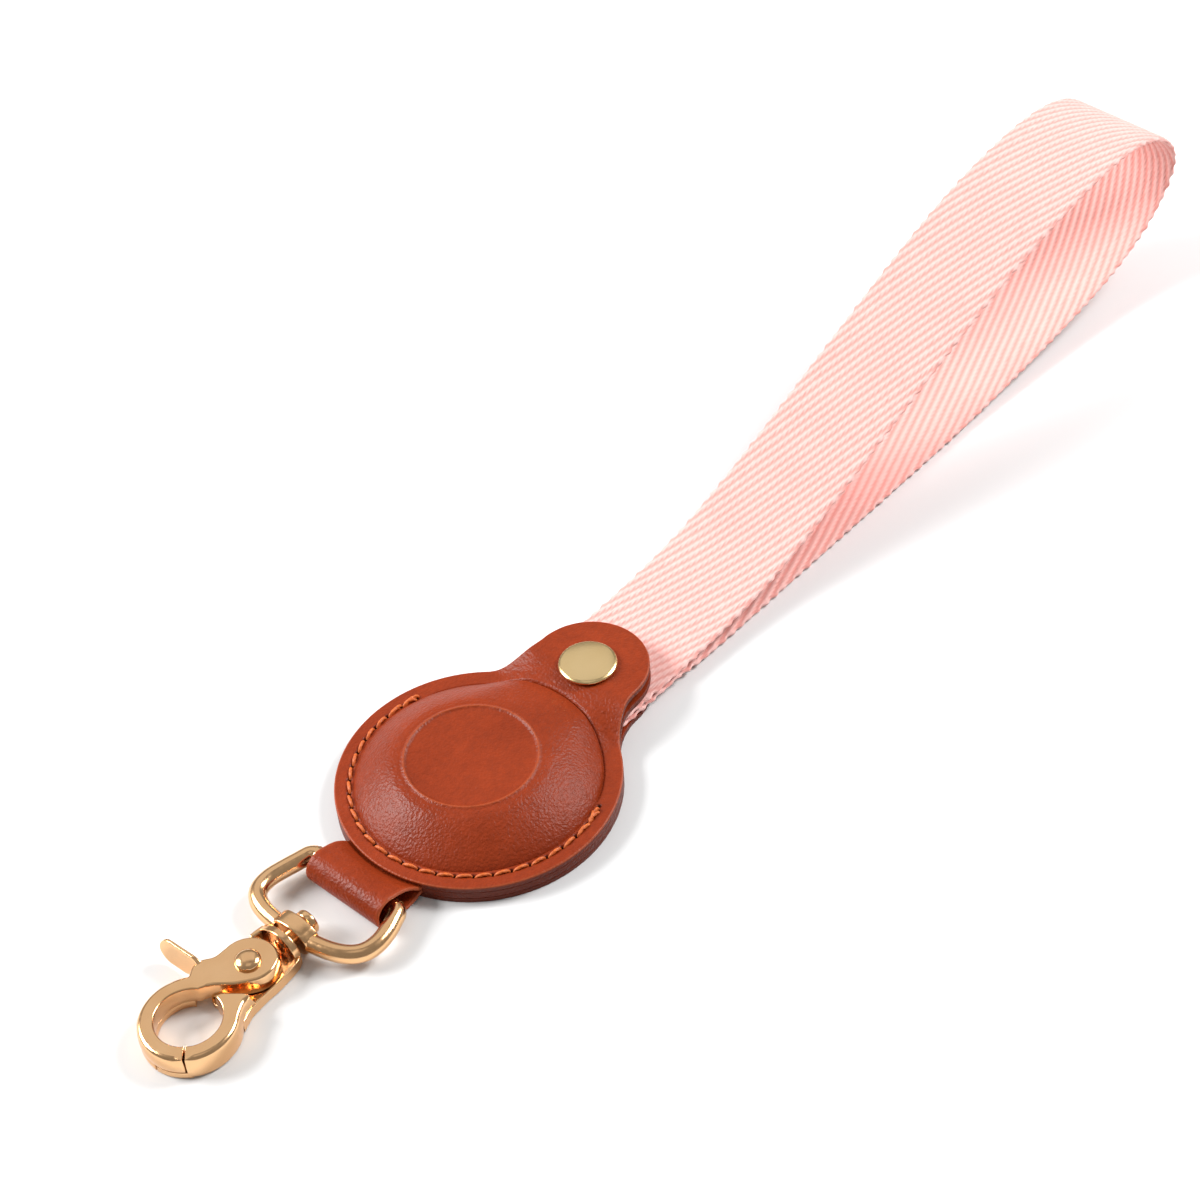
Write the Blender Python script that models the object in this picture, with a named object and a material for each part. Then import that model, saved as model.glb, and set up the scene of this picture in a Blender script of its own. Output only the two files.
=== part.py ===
"""Wristlet keychain: a leather case with a domed pocket, a webbing wrist loop and a trigger hook.

The whole object is modelled in millimetres around the case centre, then carried to metres by
MM.  +X runs from the hook to the wrist loop, +Z is up, and the object lies flat on z = 0.
"""
import math

import bmesh
import bpy
from mathutils import Vector

MM = 0.001

# Case outline, seen from above
CASE_CENTRE_X = 0.7
CASE_RADIUS = 23.4
NECK_CENTRE_X = 27.9
NECK_RADIUS = 10.2
NECK_FILLET = 12.0

# Leather layers, measured up from the surface that the case lies on
LEATHER = 1.0
LAYER_GAP = 0.2
BACK_TOP = 0.9
MIDDLE_LOW = BACK_TOP + LAYER_GAP
MIDDLE_TOP = MIDDLE_LOW + LEATHER
FRONT_LOW = MIDDLE_TOP + LAYER_GAP
FRONT_TOP = FRONT_LOW + 1.1

# Domed pocket in the front panel
DOME_RADIUS = 20.2
DOME_TOP_RADIUS = 11.4
DOME_TOP = 8.7
POCKET_RADIUS = 18.9
POCKET_TOP_RADIUS = 10.4
POCKET_TOP = DOME_TOP - 1.2
FLANK_POWER = 1.6
FRONT_CUT_X = 19.7

# Webbing
WEBBING_WIDTH = 20.6
PLY = 1.0
STRAP_LOW = BACK_TOP + 0.15
STRAP_UPPER_LOW = STRAP_LOW + PLY + 0.1
STRAP_END_X = 38.0
STRAP_START_X = 22.6
NECK_MIDDLE_LOW = STRAP_UPPER_LOW + PLY + 0.15
NECK_MIDDLE_TOP = NECK_MIDDLE_LOW + LEATHER

# Front flap, from the pocket mouth to the snap
FLAP_ROOT_X = FRONT_CUT_X + 0.3
FLAP_ROOT_TOP = 5.5
FLAP_TOP = 6.95
FLAP_RISE_LENGTH = 5.4
FLAP_THICKNESS = 1.1
FLAP_PIVOT = (FLAP_ROOT_X - 0.15, 0.0, FLAP_ROOT_TOP)

# Snap fastener on the neck
SNAP_X = 27.8
SNAP_POST_RADIUS = 1.05
SNAP_BARREL_RADIUS = 1.4
SNAP_CAP_RADIUS = 4.95
SNAP_CAP_TOP = 8.2
SNAP_FLANGE_RADIUS = 4.0
SNAP_SOCKET_RADIUS = 3.3

# Stitching
SEAM_RADIUS = 20.95
SEAM_CENTRE_X = CASE_CENTRE_X
SEAM_START = math.radians(73.0)
SEAM_END = math.radians(287.0)
STITCH_PITCH = 3.0
THREAD_RADIUS = 0.3

# Leather tab that holds the D-ring
TAB_Y = (-8.3, 7.5)
TAB_PLY = 0.7
TAB_LOOP_X = -28.0
TAB_LOOP_Z = 3.0
TAB_LOOP_RADIUS = 2.95
TAB_ROOT_X = -17.0
TAB_EXIT_X = -22.95

# D-ring
RING_Y = 0.35
RING_Z = 2.8
RING_WIRE = 1.5
RING_BAR_X = -26.95
RING_CORNER = 1.55
RING_HALF_WIDTH = 11.3
RING_WIDEST_X = -34.2
RING_TAPER = 1.45
RING_BOW_X = -40.0
RING_BOW_POWER = 2.7
RING_SKEW = -0.075
BOSS_X = (-41.1, -38.3)
BOSS_HALF = ((4.2, 0.0), (3.75, 1.25), (2.75, 2.05), (1.4, 2.55), (0.0, 2.7))

# Swivel between the D-ring and the hook
SWIVEL_Y = 0.5
SWIVEL_BORE = 1.3
SWIVEL_SHAFT = 1.22
SWIVEL_HEAD = 2.1
SWIVEL_HEAD_X = (-38.0, -36.65)
SWIVEL_END_X = -43.5

# Hook
HOOK_LOW = 0.15
HOOK_TOP = 4.7
EYE_CENTRE = (-61.75, 0.35)
EYE_HOLE = 5.2
EYE_OUTER = 7.75
GATE_ANGLE = math.radians(223.0)
LAP_ANGLE = math.radians(186.0)
LAP_TOP = 1.45
PIVOT = (-49.0, 0.95)
LEVER_DISC = 4.7
PLATE_TOP = 1.35
LIP_TOP = 2.25
YOKE_X = (-43.3, -42.0)
YOKE_ARCH = ((5.2, 0.15), (5.2, 1.8), (4.95, 3.4), (3.7, 4.55), (2.1, 5.25), (0.9, 5.52),
             (-0.2, 5.45), (-1.2, 5.1), (-2.1, 4.4), (-2.7, 3.4), (-2.9, 2.0), (-2.9, 0.15))
LEVER_LOW = PLATE_TOP + 0.25
FIN_X = (-54.8, -54.0)
FIN_OUTLINE = ((5.4, 1.8), (7.2, 1.6), (8.2, 1.0), (9.6, 0.6), (12.6, 0.6), (14.1, 1.2),
               (14.9, 2.3), (14.9, 3.6), (14.1, 4.7), (12.6, 5.3), (7.7, 5.3), (6.4, 4.6),
               (5.4, 4.6))
RIVET_SHAFT = 1.0
RIVET_HOLE = 1.08
RIVET_HEAD = 2.05
RIVET_TOP = 5.85

# The wrist loop's centre line from the neck, along the surface, round the end and back
LOOP_POINTS = [
    (39.2, STRAP_LOW + PLY / 2), (45.0, 0.75), (54.0, 0.56), (76.0, 0.56), (100.0, 0.56),
    (120.0, 0.72), (138.0, 1.9), (155.0, 3.7), (168.5, 6.1), (179.2, 10.0), (186.0, 15.0),
    (189.2, 20.6), (187.4, 26.0), (182.3, 30.4), (174.5, 33.2), (165.0, 33.9), (154.5, 33.0),
    (143.5, 31.1), (133.0, 28.4), (122.0, 24.9), (111.0, 21.0), (98.5, 16.5), (86.0, 11.8),
    (74.5, 7.9), (64.0, 5.0), (54.0, 3.5), (46.0, 2.9), (39.2, STRAP_UPPER_LOW + PLY / 2),
]
LOOP_STEPS = 3
STRAP_PIVOT = (39.2, 0.0, STRAP_LOW + PLY + 0.05)

# Origin: the middle of the object's length, on the surface
LOOP_END_X = 189.73
CASE_X = -(LOOP_END_X + EYE_CENTRE[0] - EYE_OUTER) / 2

LEATHER_COLOUR = (0.37, 0.062, 0.018, 1.0)
THREAD_COLOUR = (0.80, 0.20, 0.04, 1.0)
WEBBING_COLOUR = (0.90, 0.56, 0.50, 1.0)
GOLD_COLOUR = (0.86, 0.55, 0.30, 1.0)
BRASS_COLOUR = (0.76, 0.62, 0.40, 1.0)
STEEL_COLOUR = (0.60, 0.60, 0.60, 1.0)


# ---------------------------------------------------------------- scene and materials

def clear_scene():
    for scene_object in list(bpy.data.objects):
        bpy.data.objects.remove(scene_object, do_unlink=True)


def make_material(name, colour, roughness, metallic):
    material = bpy.data.materials.new(name)
    material.use_nodes = True
    shader = material.node_tree.nodes["Principled BSDF"]
    shader.inputs["Base Color"].default_value = colour
    shader.inputs["Roughness"].default_value = roughness
    shader.inputs["Metallic"].default_value = metallic
    return material


def make_empty(name, place, parent=None):
    """An empty at a point of the case frame, in millimetres."""
    empty = bpy.data.objects.new(name, None)
    bpy.context.collection.objects.link(empty)
    empty.location = Vector(place) * MM
    if parent:
        empty.parent = parent
        empty.location -= pivot_of(parent)
    empty["place"] = [value * MM for value in place]
    return empty


def pivot_of(empty):
    """Where an empty lies in the case frame, in metres."""
    return Vector(empty.get("place", (0.0, 0.0, 0.0)))


def finish_object(name, shape, material, pivot, smooth=35.0):
    """Turn a bmesh in case-frame millimetres into a named object that hangs from its pivot."""
    bmesh.ops.remove_doubles(shape, verts=shape.verts, dist=0.0005)
    bmesh.ops.recalc_face_normals(shape, faces=shape.faces)
    bmesh.ops.triangulate(shape, faces=[face for face in shape.faces if len(face.verts) > 4])
    bmesh.ops.scale(shape, vec=(MM, MM, MM), verts=shape.verts)
    bmesh.ops.translate(shape, vec=-pivot_of(pivot), verts=shape.verts)
    mesh = bpy.data.meshes.new(name)
    shape.to_mesh(mesh)
    shape.free()
    mesh.materials.append(material)
    mesh.shade_smooth()
    mesh.set_sharp_from_angle(angle=math.radians(smooth))
    part = bpy.data.objects.new(name, mesh)
    bpy.context.collection.objects.link(part)
    part.parent = pivot
    return part


def combine(part, cutters, operation):
    """Boolean one object with helper objects, which stay hidden."""
    for cutter in cutters:
        cutter.hide_render = True
        cutter.display_type = "WIRE"
        modifier = part.modifiers.new(cutter.name, "BOOLEAN")
        modifier.operation = operation
        modifier.object = cutter


# ---------------------------------------------------------------- shape builders

def arc(centre, radius, start, end, count):
    """Points on an arc from one angle to another, both ends included."""
    points = []
    for step in range(count + 1):
        angle = start + (end - start) * step / count
        points.append((centre[0] + radius * math.cos(angle), centre[1] + radius * math.sin(angle)))
    return points


def prism(outline, low, high, plane="XY"):
    """Extrude a closed outline, drawn in the given plane, between two levels across it."""
    order = {"XY": (0, 1, 2), "XZ": (0, 2, 1), "YZ": (2, 0, 1)}[plane]
    shape = bmesh.new()
    for level in (low, high):
        for first, second in outline:
            place = (first, second, level)
            shape.verts.new([place[index] for index in order])
    shape.verts.ensure_lookup_table()
    count = len(outline)
    for index in range(count):
        following = (index + 1) % count
        shape.faces.new([shape.verts[number] for number in
                         (index, following, count + following, count + index)])
    shape.faces.new(shape.verts[:count])
    shape.faces.new(shape.verts[count:])
    return shape


def loft(sections, closed=False):
    """Skin equal rings of points, with flat ends or as one closed loop."""
    shape = bmesh.new()
    rings = [[shape.verts.new(place) for place in section] for section in sections]
    pairs = list(zip(rings, rings[1:]))
    if closed:
        pairs.append((rings[-1], rings[0]))
    sides = len(rings[0])
    for ring, next_ring in pairs:
        for index in range(sides):
            following = (index + 1) % sides
            shape.faces.new((ring[index], ring[following], next_ring[following], next_ring[index]))
    if not closed:
        shape.faces.new(rings[0])
        shape.faces.new(rings[-1])
    return shape


def turned(profile, centre, count):
    """Revolve a closed (radius, height) profile about a vertical axis."""
    sections = []
    for step in range(count):
        angle = 2 * math.pi * step / count
        sections.append([(centre[0] + radius * math.cos(angle),
                          centre[1] + radius * math.sin(angle), height)
                         for radius, height in profile])
    shape = loft(sections, closed=True)
    bmesh.ops.remove_doubles(shape, verts=shape.verts, dist=0.0005)
    return shape


def tube(path, radius, sides, closed=False):
    """Sweep a circle along a path of 3-D points; radius is a number or one number per point."""
    points = [Vector(place) for place in path]
    radii = radius if isinstance(radius, list) else [radius] * len(points)
    count = len(points)
    sections = []
    side = None
    for index, point in enumerate(points):
        before = points[index - 1] if closed or index else point
        after = points[(index + 1) % count] if closed or index < count - 1 else point
        along = (after - before).normalized()
        if side is None:
            side = along.cross(Vector((0, 0, 1))).normalized()
        side = (side - along * side.dot(along)).normalized()
        up = side.cross(along)
        ring = []
        for number in range(sides):
            angle = 2 * math.pi * number / sides
            ring.append(point + (side * math.cos(angle) + up * math.sin(angle)) * radii[index])
        sections.append(ring)
    return loft(sections, closed)


def smooth_path(points, steps):
    """A Catmull-Rom curve through 2-D points, with extra points between each pair."""
    path = []
    count = len(points)
    for index in range(count - 1):
        p0, p1, p2, p3 = (Vector(points[max(0, min(count - 1, index + shift))])
                          for shift in (-1, 0, 1, 2))
        for step in range(steps):
            t = step / steps
            path.append(0.5 * (2 * p1 + (p2 - p0) * t + (2 * p0 - 5 * p1 + 4 * p2 - p3) * t * t
                               + (3 * p1 - p0 - 3 * p2 + p3) * t ** 3))
    path.append(Vector(points[-1]))
    return path


def offset_path(path, distance):
    """Move a 2-D path sideways."""
    moved = []
    for index, point in enumerate(path):
        along = path[min(index + 1, len(path) - 1)] - path[max(index - 1, 0)]
        moved.append(point + Vector((-along.y, along.x)).normalized() * distance)
    return moved


def fillet_centre():
    """Centre of the concave fillet that joins the case disc to the neck."""
    from_case = CASE_RADIUS + NECK_FILLET
    from_neck = NECK_RADIUS + NECK_FILLET
    span = NECK_CENTRE_X - CASE_CENTRE_X
    along = (from_case ** 2 - from_neck ** 2 + span ** 2) / (2 * span)
    return CASE_CENTRE_X + along, math.sqrt(from_case ** 2 - along ** 2)


def half_width(x, inset=0.0):
    """Half the width of the leather outline at one x."""
    centre_x, centre_y = fillet_centre()
    case_share = CASE_RADIUS / (CASE_RADIUS + NECK_FILLET)
    flare_start = CASE_CENTRE_X + (centre_x - CASE_CENTRE_X) * case_share
    neck_share = NECK_RADIUS / (NECK_RADIUS + NECK_FILLET)
    flare_end = NECK_CENTRE_X + (centre_x - NECK_CENTRE_X) * neck_share
    if x < flare_start:
        width = math.sqrt(max(0.0, CASE_RADIUS ** 2 - (x - CASE_CENTRE_X) ** 2))
    elif x < flare_end:
        width = centre_y - math.sqrt(NECK_FILLET ** 2 - (x - centre_x) ** 2)
    else:
        width = math.sqrt(max(0.0, NECK_RADIUS ** 2 - (x - NECK_CENTRE_X) ** 2))
    return max(0.4, width - inset)


def outline_stations(first_x):
    """x positions for the leather outline, closer together where it turns."""
    tip = NECK_CENTRE_X + NECK_RADIUS
    rear = CASE_CENTRE_X - CASE_RADIUS
    stations = [CASE_CENTRE_X - CASE_RADIUS * math.cos(math.radians(angle))
                for angle in range(4, 130, 7)]
    stations += [CASE_CENTRE_X + 17.0 + step * 1.1 for step in range(9)]
    stations += [NECK_CENTRE_X + NECK_RADIUS * math.sin(math.radians(angle))
                 for angle in range(0, 84, 9)] + [tip - 0.01]
    stations = sorted(x for x in stations if max(first_x, rear) < x < tip)
    if first_x > rear:
        stations.insert(0, first_x)
    return stations


def sheet_between(stations, low, high, columns, inset=0.0):
    """A leather layer over the outline, whose faces follow low(x, y) and high(x, y)."""
    sections = []
    for x in stations:
        width = half_width(x, inset)
        across = [width * (2 * column / columns - 1) for column in range(columns + 1)]
        ring = [(x, y, low(x, y)) for y in across]
        ring += [(x, y, high(x, y)) for y in reversed(across)]
        sections.append(ring)
    return loft(sections)


def ease(value):
    """Smooth step from 0 to 1."""
    value = min(1.0, max(0.0, value))
    return value * value * (3 - 2 * value)


# ---------------------------------------------------------------- leather case

def panel_outline():
    upper = [(x, half_width(x)) for x in outline_stations(-100.0)]
    lower = [(x, -y) for x, y in reversed(upper)]
    return upper + lower


def middle_lift(x):
    """The middle layer steps up over the webbing in the neck."""
    ramp = STRAP_START_X - FLAP_ROOT_X - 0.4
    return (NECK_MIDDLE_LOW - MIDDLE_LOW) * ease((x - FLAP_ROOT_X) / ramp)


def stepped_cutter(name, steps, centre, pivot, material):
    """A turned cutter: steps are (radius, low, high) from the bottom up."""
    profile = [(0.0, steps[0][1])]
    for radius, low, high in steps:
        profile += [(radius, low), (radius, high)]
    profile.append((0.0, steps[-1][2]))
    return finish_object(name, turned(profile, centre, 24), material, pivot)


def build_case(leather, thread, brass, case):
    snap = (SNAP_X, 0.0)
    seam = (SEAM_CENTRE_X, 0.0)

    back = finish_object("back_panel", prism(panel_outline(), 0.0, BACK_TOP), leather, case)
    recess = stepped_cutter("back_recess", [(SNAP_FLANGE_RADIUS + 0.3, -1.0, 0.5),
                                            (SNAP_POST_RADIUS + 0.3, 0.5, 2.0)],
                            snap, case, brass)
    combine(back, [recess, seam_channel("back_channel", -0.5, 0.5, case, thread)], "DIFFERENCE")

    middle = finish_object(
        "middle_panel",
        sheet_between(outline_stations(-100.0), lambda x, y: MIDDLE_LOW + middle_lift(x),
                      lambda x, y: MIDDLE_TOP + middle_lift(x), 2), leather, case)
    notch = prism([(-30.0, TAB_Y[0] - 0.4), (TAB_ROOT_X + 0.6, TAB_Y[0] - 0.4),
                   (TAB_ROOT_X + 0.6, TAB_Y[1] + 0.4), (-30.0, TAB_Y[1] + 0.4)], -1.0, 4.0)
    combine(middle, [
        finish_object("tab_notch", notch, leather, case),
        stepped_cutter("middle_hole", [(SNAP_POST_RADIUS + 0.3, 0.0, 8.0)], snap, case, brass),
    ], "DIFFERENCE")

    front = finish_object("front_panel", turned(dome_profile(), seam, 60), leather, case)
    mouth = finish_object("front_cut", prism([(FRONT_CUT_X, -30.0), (40.0, -30.0), (40.0, 30.0),
                                              (FRONT_CUT_X, 30.0)], 0.0, 12.0), leather, case)
    combine(front, [mouth, seam_channel("front_channel", FRONT_TOP - 0.35, FRONT_TOP + 1.0,
                                        case, thread)], "DIFFERENCE")

    finish_object("seam_thread_top", seam_thread(FRONT_TOP - 0.35 + 0.15 + THREAD_RADIUS, seam),
                  thread, case)
    finish_object("seam_thread_bottom", seam_thread(0.25, seam, 0.6, 2), thread, case)


def dome_profile():
    """Half section of the front panel: rim, domed top and the pocket under it."""
    profile = [(POCKET_RADIUS, FRONT_LOW), (CASE_RADIUS, FRONT_LOW), (CASE_RADIUS, FRONT_TOP),
               (DOME_RADIUS, FRONT_TOP)]
    profile += dome_side(DOME_RADIUS, FRONT_TOP, DOME_TOP_RADIUS, DOME_TOP, 6)
    profile += [(0.0, DOME_TOP), (0.0, POCKET_TOP)]
    inner = dome_side(POCKET_RADIUS, FRONT_LOW, POCKET_TOP_RADIUS, POCKET_TOP, 5)
    return profile + list(reversed(inner))


def dome_side(base_radius, base_z, top_radius, top_z, count):
    """The dome's flank: nearly straight, softly rounded into the rim and the flat top."""
    points = []
    for step in range(1, count + 1):
        angle = math.pi / 2 * step / count
        inward = max(math.cos(angle), 0.0) ** FLANK_POWER
        points.append((top_radius + (base_radius - top_radius) * inward,
                       base_z + (top_z - base_z) * math.sin(angle) ** FLANK_POWER))
    return points


def seam_channel(name, low, high, case, material):
    """A shallow arc-shaped channel in which the stitching lies."""
    margin = math.radians(2.0)
    count = 36
    half = THREAD_RADIUS + 0.2
    centre = (SEAM_CENTRE_X, 0.0)
    outline = arc(centre, SEAM_RADIUS + half, SEAM_START - margin, SEAM_END + margin, count)
    outline += arc(centre, SEAM_RADIUS - half, SEAM_END + margin, SEAM_START - margin, count)
    return finish_object(name, prism(outline, low, high), material, case)


def seam_thread(level, centre, scale=1.0, per_stitch=4):
    """The row of stitches as one thread that swells between its needle holes."""
    count = round(SEAM_RADIUS * (SEAM_END - SEAM_START) / STITCH_PITCH)
    path = []
    radii = []
    for step in range(count * per_stitch + 1):
        angle = SEAM_START + (SEAM_END - SEAM_START) * step / (count * per_stitch)
        swell = abs(math.sin(math.pi * step / per_stitch))
        path.append((centre[0] + SEAM_RADIUS * math.cos(angle),
                     centre[1] + SEAM_RADIUS * math.sin(angle), level))
        radii.append(THREAD_RADIUS * scale * (0.55 + 0.45 * swell))
    return tube(path, radii, 4)


def build_flap(leather, brass, case):
    flap_hinge = make_empty("flap_hinge", FLAP_PIVOT, case)

    def flap_top(x, y):
        """Low at the pocket mouth's corners, up over the snap at the neck."""
        edge = FRONT_TOP + (FLAP_ROOT_TOP - FRONT_TOP) * (1 - ease((abs(y) - 6.0) / 7.5))
        return edge + (FLAP_TOP - edge) * ease((x - FLAP_ROOT_X) / FLAP_RISE_LENGTH)

    stations = outline_stations(FLAP_ROOT_X)
    flap = finish_object("front_flap", sheet_between(
        stations, lambda x, y: max(flap_top(x, y) - FLAP_THICKNESS, NECK_MIDDLE_TOP + 0.25),
        lambda x, y: max(flap_top(x, y), NECK_MIDDLE_TOP + 1.1), 10), leather, flap_hinge)
    hole = stepped_cutter("flap_hole", [(SNAP_BARREL_RADIUS + 0.3, 3.0, 9.0)], (SNAP_X, 0.0),
                          flap_hinge, brass)
    combine(flap, [hole], "DIFFERENCE")

    cap_low = FLAP_TOP + 0.1
    dome = [(SNAP_CAP_RADIUS * math.cos(angle), cap_low + 0.45
             + (SNAP_CAP_TOP - cap_low - 0.45) * math.sin(angle))
            for angle in (math.radians(degrees) for degrees in range(0, 91, 15))]
    cap = [(0.0, FLAP_TOP - 1.0), (SNAP_BARREL_RADIUS, FLAP_TOP - 1.0),
           (SNAP_BARREL_RADIUS, cap_low), (SNAP_CAP_RADIUS - 0.2, cap_low)] + dome
    finish_object("snap_cap", turned(cap, (SNAP_X, 0.0), 40), brass, flap_hinge)

    socket_low = NECK_MIDDLE_TOP + 0.85
    socket_top = FLAP_TOP - FLAP_THICKNESS - 0.2
    socket = [(2.1, socket_low), (2.9, socket_low), (SNAP_SOCKET_RADIUS, socket_low + 0.2),
              (SNAP_SOCKET_RADIUS, socket_top), (2.1, socket_top)]
    finish_object("snap_socket", turned(socket, (SNAP_X, 0.0), 32), brass, flap_hinge)


def build_snap_base(brass, case):
    """The stud on the middle layer and the post that rivets it through the webbing."""
    low = NECK_MIDDLE_TOP + 0.2
    knob = low + 1.35
    inner = SNAP_POST_RADIUS + 0.15
    stud = [(inner, low), (SNAP_FLANGE_RADIUS, low), (SNAP_FLANGE_RADIUS, low + 0.4),
            (1.7, low + 0.4), (1.6, low + 0.7), (1.85, low + 1.05), (1.7, knob), (0.0, knob),
            (0.0, knob - 0.25), (inner, knob - 0.25)]
    finish_object("snap_stud", turned(stud, (SNAP_X, 0.0), 24), brass, case)
    post = [(0.0, 0.04), (SNAP_FLANGE_RADIUS, 0.04), (SNAP_FLANGE_RADIUS, 0.3),
            (SNAP_POST_RADIUS, 0.34), (SNAP_POST_RADIUS, knob - 0.45), (0.0, knob - 0.45)]
    finish_object("snap_post", turned(post, (SNAP_X, 0.0), 24), brass, case)


def build_tab(leather, case):
    """The folded strip round the D-ring's bar, with its plies pressed together at the root."""
    root_low = MIDDLE_LOW + 0.02
    root_top = FRONT_LOW - 0.17
    centre = (TAB_LOOP_X, TAB_LOOP_Z)
    outer = [(TAB_ROOT_X, root_top), (TAB_EXIT_X, root_top), (TAB_EXIT_X - 1.0, 3.7),
             (TAB_EXIT_X - 2.6, 5.15)]
    outer += arc(centre, TAB_LOOP_RADIUS, math.radians(78), math.radians(268), 12)
    outer += [(TAB_EXIT_X - 3.0, 0.2), (TAB_EXIT_X - 1.2, 0.6), (TAB_EXIT_X, root_low),
              (TAB_ROOT_X, root_low)]
    inner = [(TAB_EXIT_X - 1.3, 1.6), (TAB_EXIT_X - 1.6, 3.1), (TAB_EXIT_X - 3.0, 4.35)]
    inner += arc(centre, TAB_LOOP_RADIUS - TAB_PLY, math.radians(80), math.radians(266), 12)
    inner += [(TAB_EXIT_X - 3.0, 0.92)]
    tab = finish_object("d_ring_tab", prism(outer, TAB_Y[0], TAB_Y[1], "XZ"), leather, case)
    tunnel = prism(inner, TAB_Y[0] - 1.0, TAB_Y[1] + 1.0, "XZ")
    combine(tab, [finish_object("tab_tunnel", tunnel, leather, case)], "DIFFERENCE")


# ---------------------------------------------------------------- webbing

def build_strap(webbing, case):
    half = WEBBING_WIDTH / 2
    for name, low in (("strap_end_lower", STRAP_LOW), ("strap_end_upper", STRAP_UPPER_LOW)):
        outline = [(STRAP_START_X, -half), (STRAP_END_X, -half), (STRAP_END_X, half),
                   (STRAP_START_X, half)]
        ply = finish_object(name, prism(outline, low, low + PLY), webbing, case)
        hole = stepped_cutter(name + "_hole", [(SNAP_POST_RADIUS + 0.3, 0.0, 6.0)],
                              (SNAP_X, 0.0), case, webbing)
        combine(ply, [hole], "DIFFERENCE")

    strap_hinge = make_empty("strap_hinge", STRAP_PIVOT, case)
    path = smooth_path(LOOP_POINTS, LOOP_STEPS)
    inner = offset_path(path, PLY / 2)
    outer = offset_path(path, -PLY / 2)
    sections = [[(low.x, -half, low.y), (low.x, half, low.y), (top.x, half, top.y),
                 (top.x, -half, top.y)] for low, top in zip(outer, inner)]
    finish_object("strap_loop", loft(sections), webbing, strap_hinge)


# ---------------------------------------------------------------- D-ring and swivel

def ring_path():
    """The D-ring's centre line, round from one end of its boss to the other."""
    corner_x = RING_BAR_X - RING_CORNER
    reach = RING_WIDEST_X - RING_BOW_X
    power = 2 / RING_BOW_POWER
    corner_y = RING_HALF_WIDTH - RING_TAPER - RING_CORNER
    half = [(corner_x + RING_CORNER * math.cos(angle), corner_y + RING_CORNER * math.sin(angle))
            for angle in (math.radians(degrees) for degrees in (0, 25, 50, 72))]
    half += [(x, RING_HALF_WIDTH - RING_TAPER * ((x - RING_WIDEST_X) / (corner_x - RING_WIDEST_X))
              ** 1.5) for x in (-29.8, -31.2, -32.7)]
    for degrees in range(90, 20, -9):
        angle = math.radians(degrees)
        half.append((RING_WIDEST_X - reach * math.cos(angle) ** power,
                     RING_HALF_WIDTH * math.sin(angle) ** power))
    half.append((RING_BOW_X, 3.4))
    points = [(x, -y) for x, y in reversed(half)] + [(RING_BAR_X, 0.0)] + half
    return [(x + RING_SKEW * y * ease((RING_BAR_X - x) / 5.0), y + RING_Y, RING_Z)
            for x, y in points]


def boss_outline(scale):
    """Section of the boss across the swivel axis: a wide barrel with flat facets."""
    quarter = [(y * scale, z * scale) for y, z in BOSS_HALF]
    upper = quarter + [(-y, z) for y, z in reversed(quarter[:-1])]
    return upper + [(y, -z) for y, z in reversed(upper[1:-1])]


def build_d_ring(gold, case):
    ring_hinge = make_empty("d_ring_hinge", (RING_BAR_X, RING_Y, RING_Z), case)
    ring = finish_object("d_ring", tube(ring_path(), RING_WIRE, 12), gold, ring_hinge)
    low, high = BOSS_X
    sections = [[(x, SWIVEL_Y + y, RING_Z + z) for y, z in boss_outline(scale)]
                for x, scale in ((low, 0.93), (low + 0.3, 1.0), (high - 0.3, 1.0), (high, 0.93))]
    boss = finish_object("ring_boss", loft(sections), gold, ring_hinge)
    bore = [(-45.0, SWIVEL_BORE), (-35.0, SWIVEL_BORE)]
    bore = finish_object("swivel_bore", rod_along_x(bore), gold, ring_hinge)
    combine(ring, [boss], "UNION")
    combine(ring, [bore], "DIFFERENCE")
    return ring_hinge


def rod_along_x(steps, count=24):
    """A turned rod on the swivel axis: steps are (x, radius)."""
    sections = []
    for x, radius in steps:
        sections.append([(x, SWIVEL_Y + radius * math.cos(2 * math.pi * number / count),
                          RING_Z + radius * math.sin(2 * math.pi * number / count))
                         for number in range(count)])
    return loft(sections)


# ---------------------------------------------------------------- hook

def eye_sector(start, end, count=20):
    """Outline of a stretch of the hook's round eye."""
    return (arc(EYE_CENTRE, EYE_OUTER, start, end, count)
            + arc(EYE_CENTRE, EYE_HOLE, end, start, count))


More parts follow.
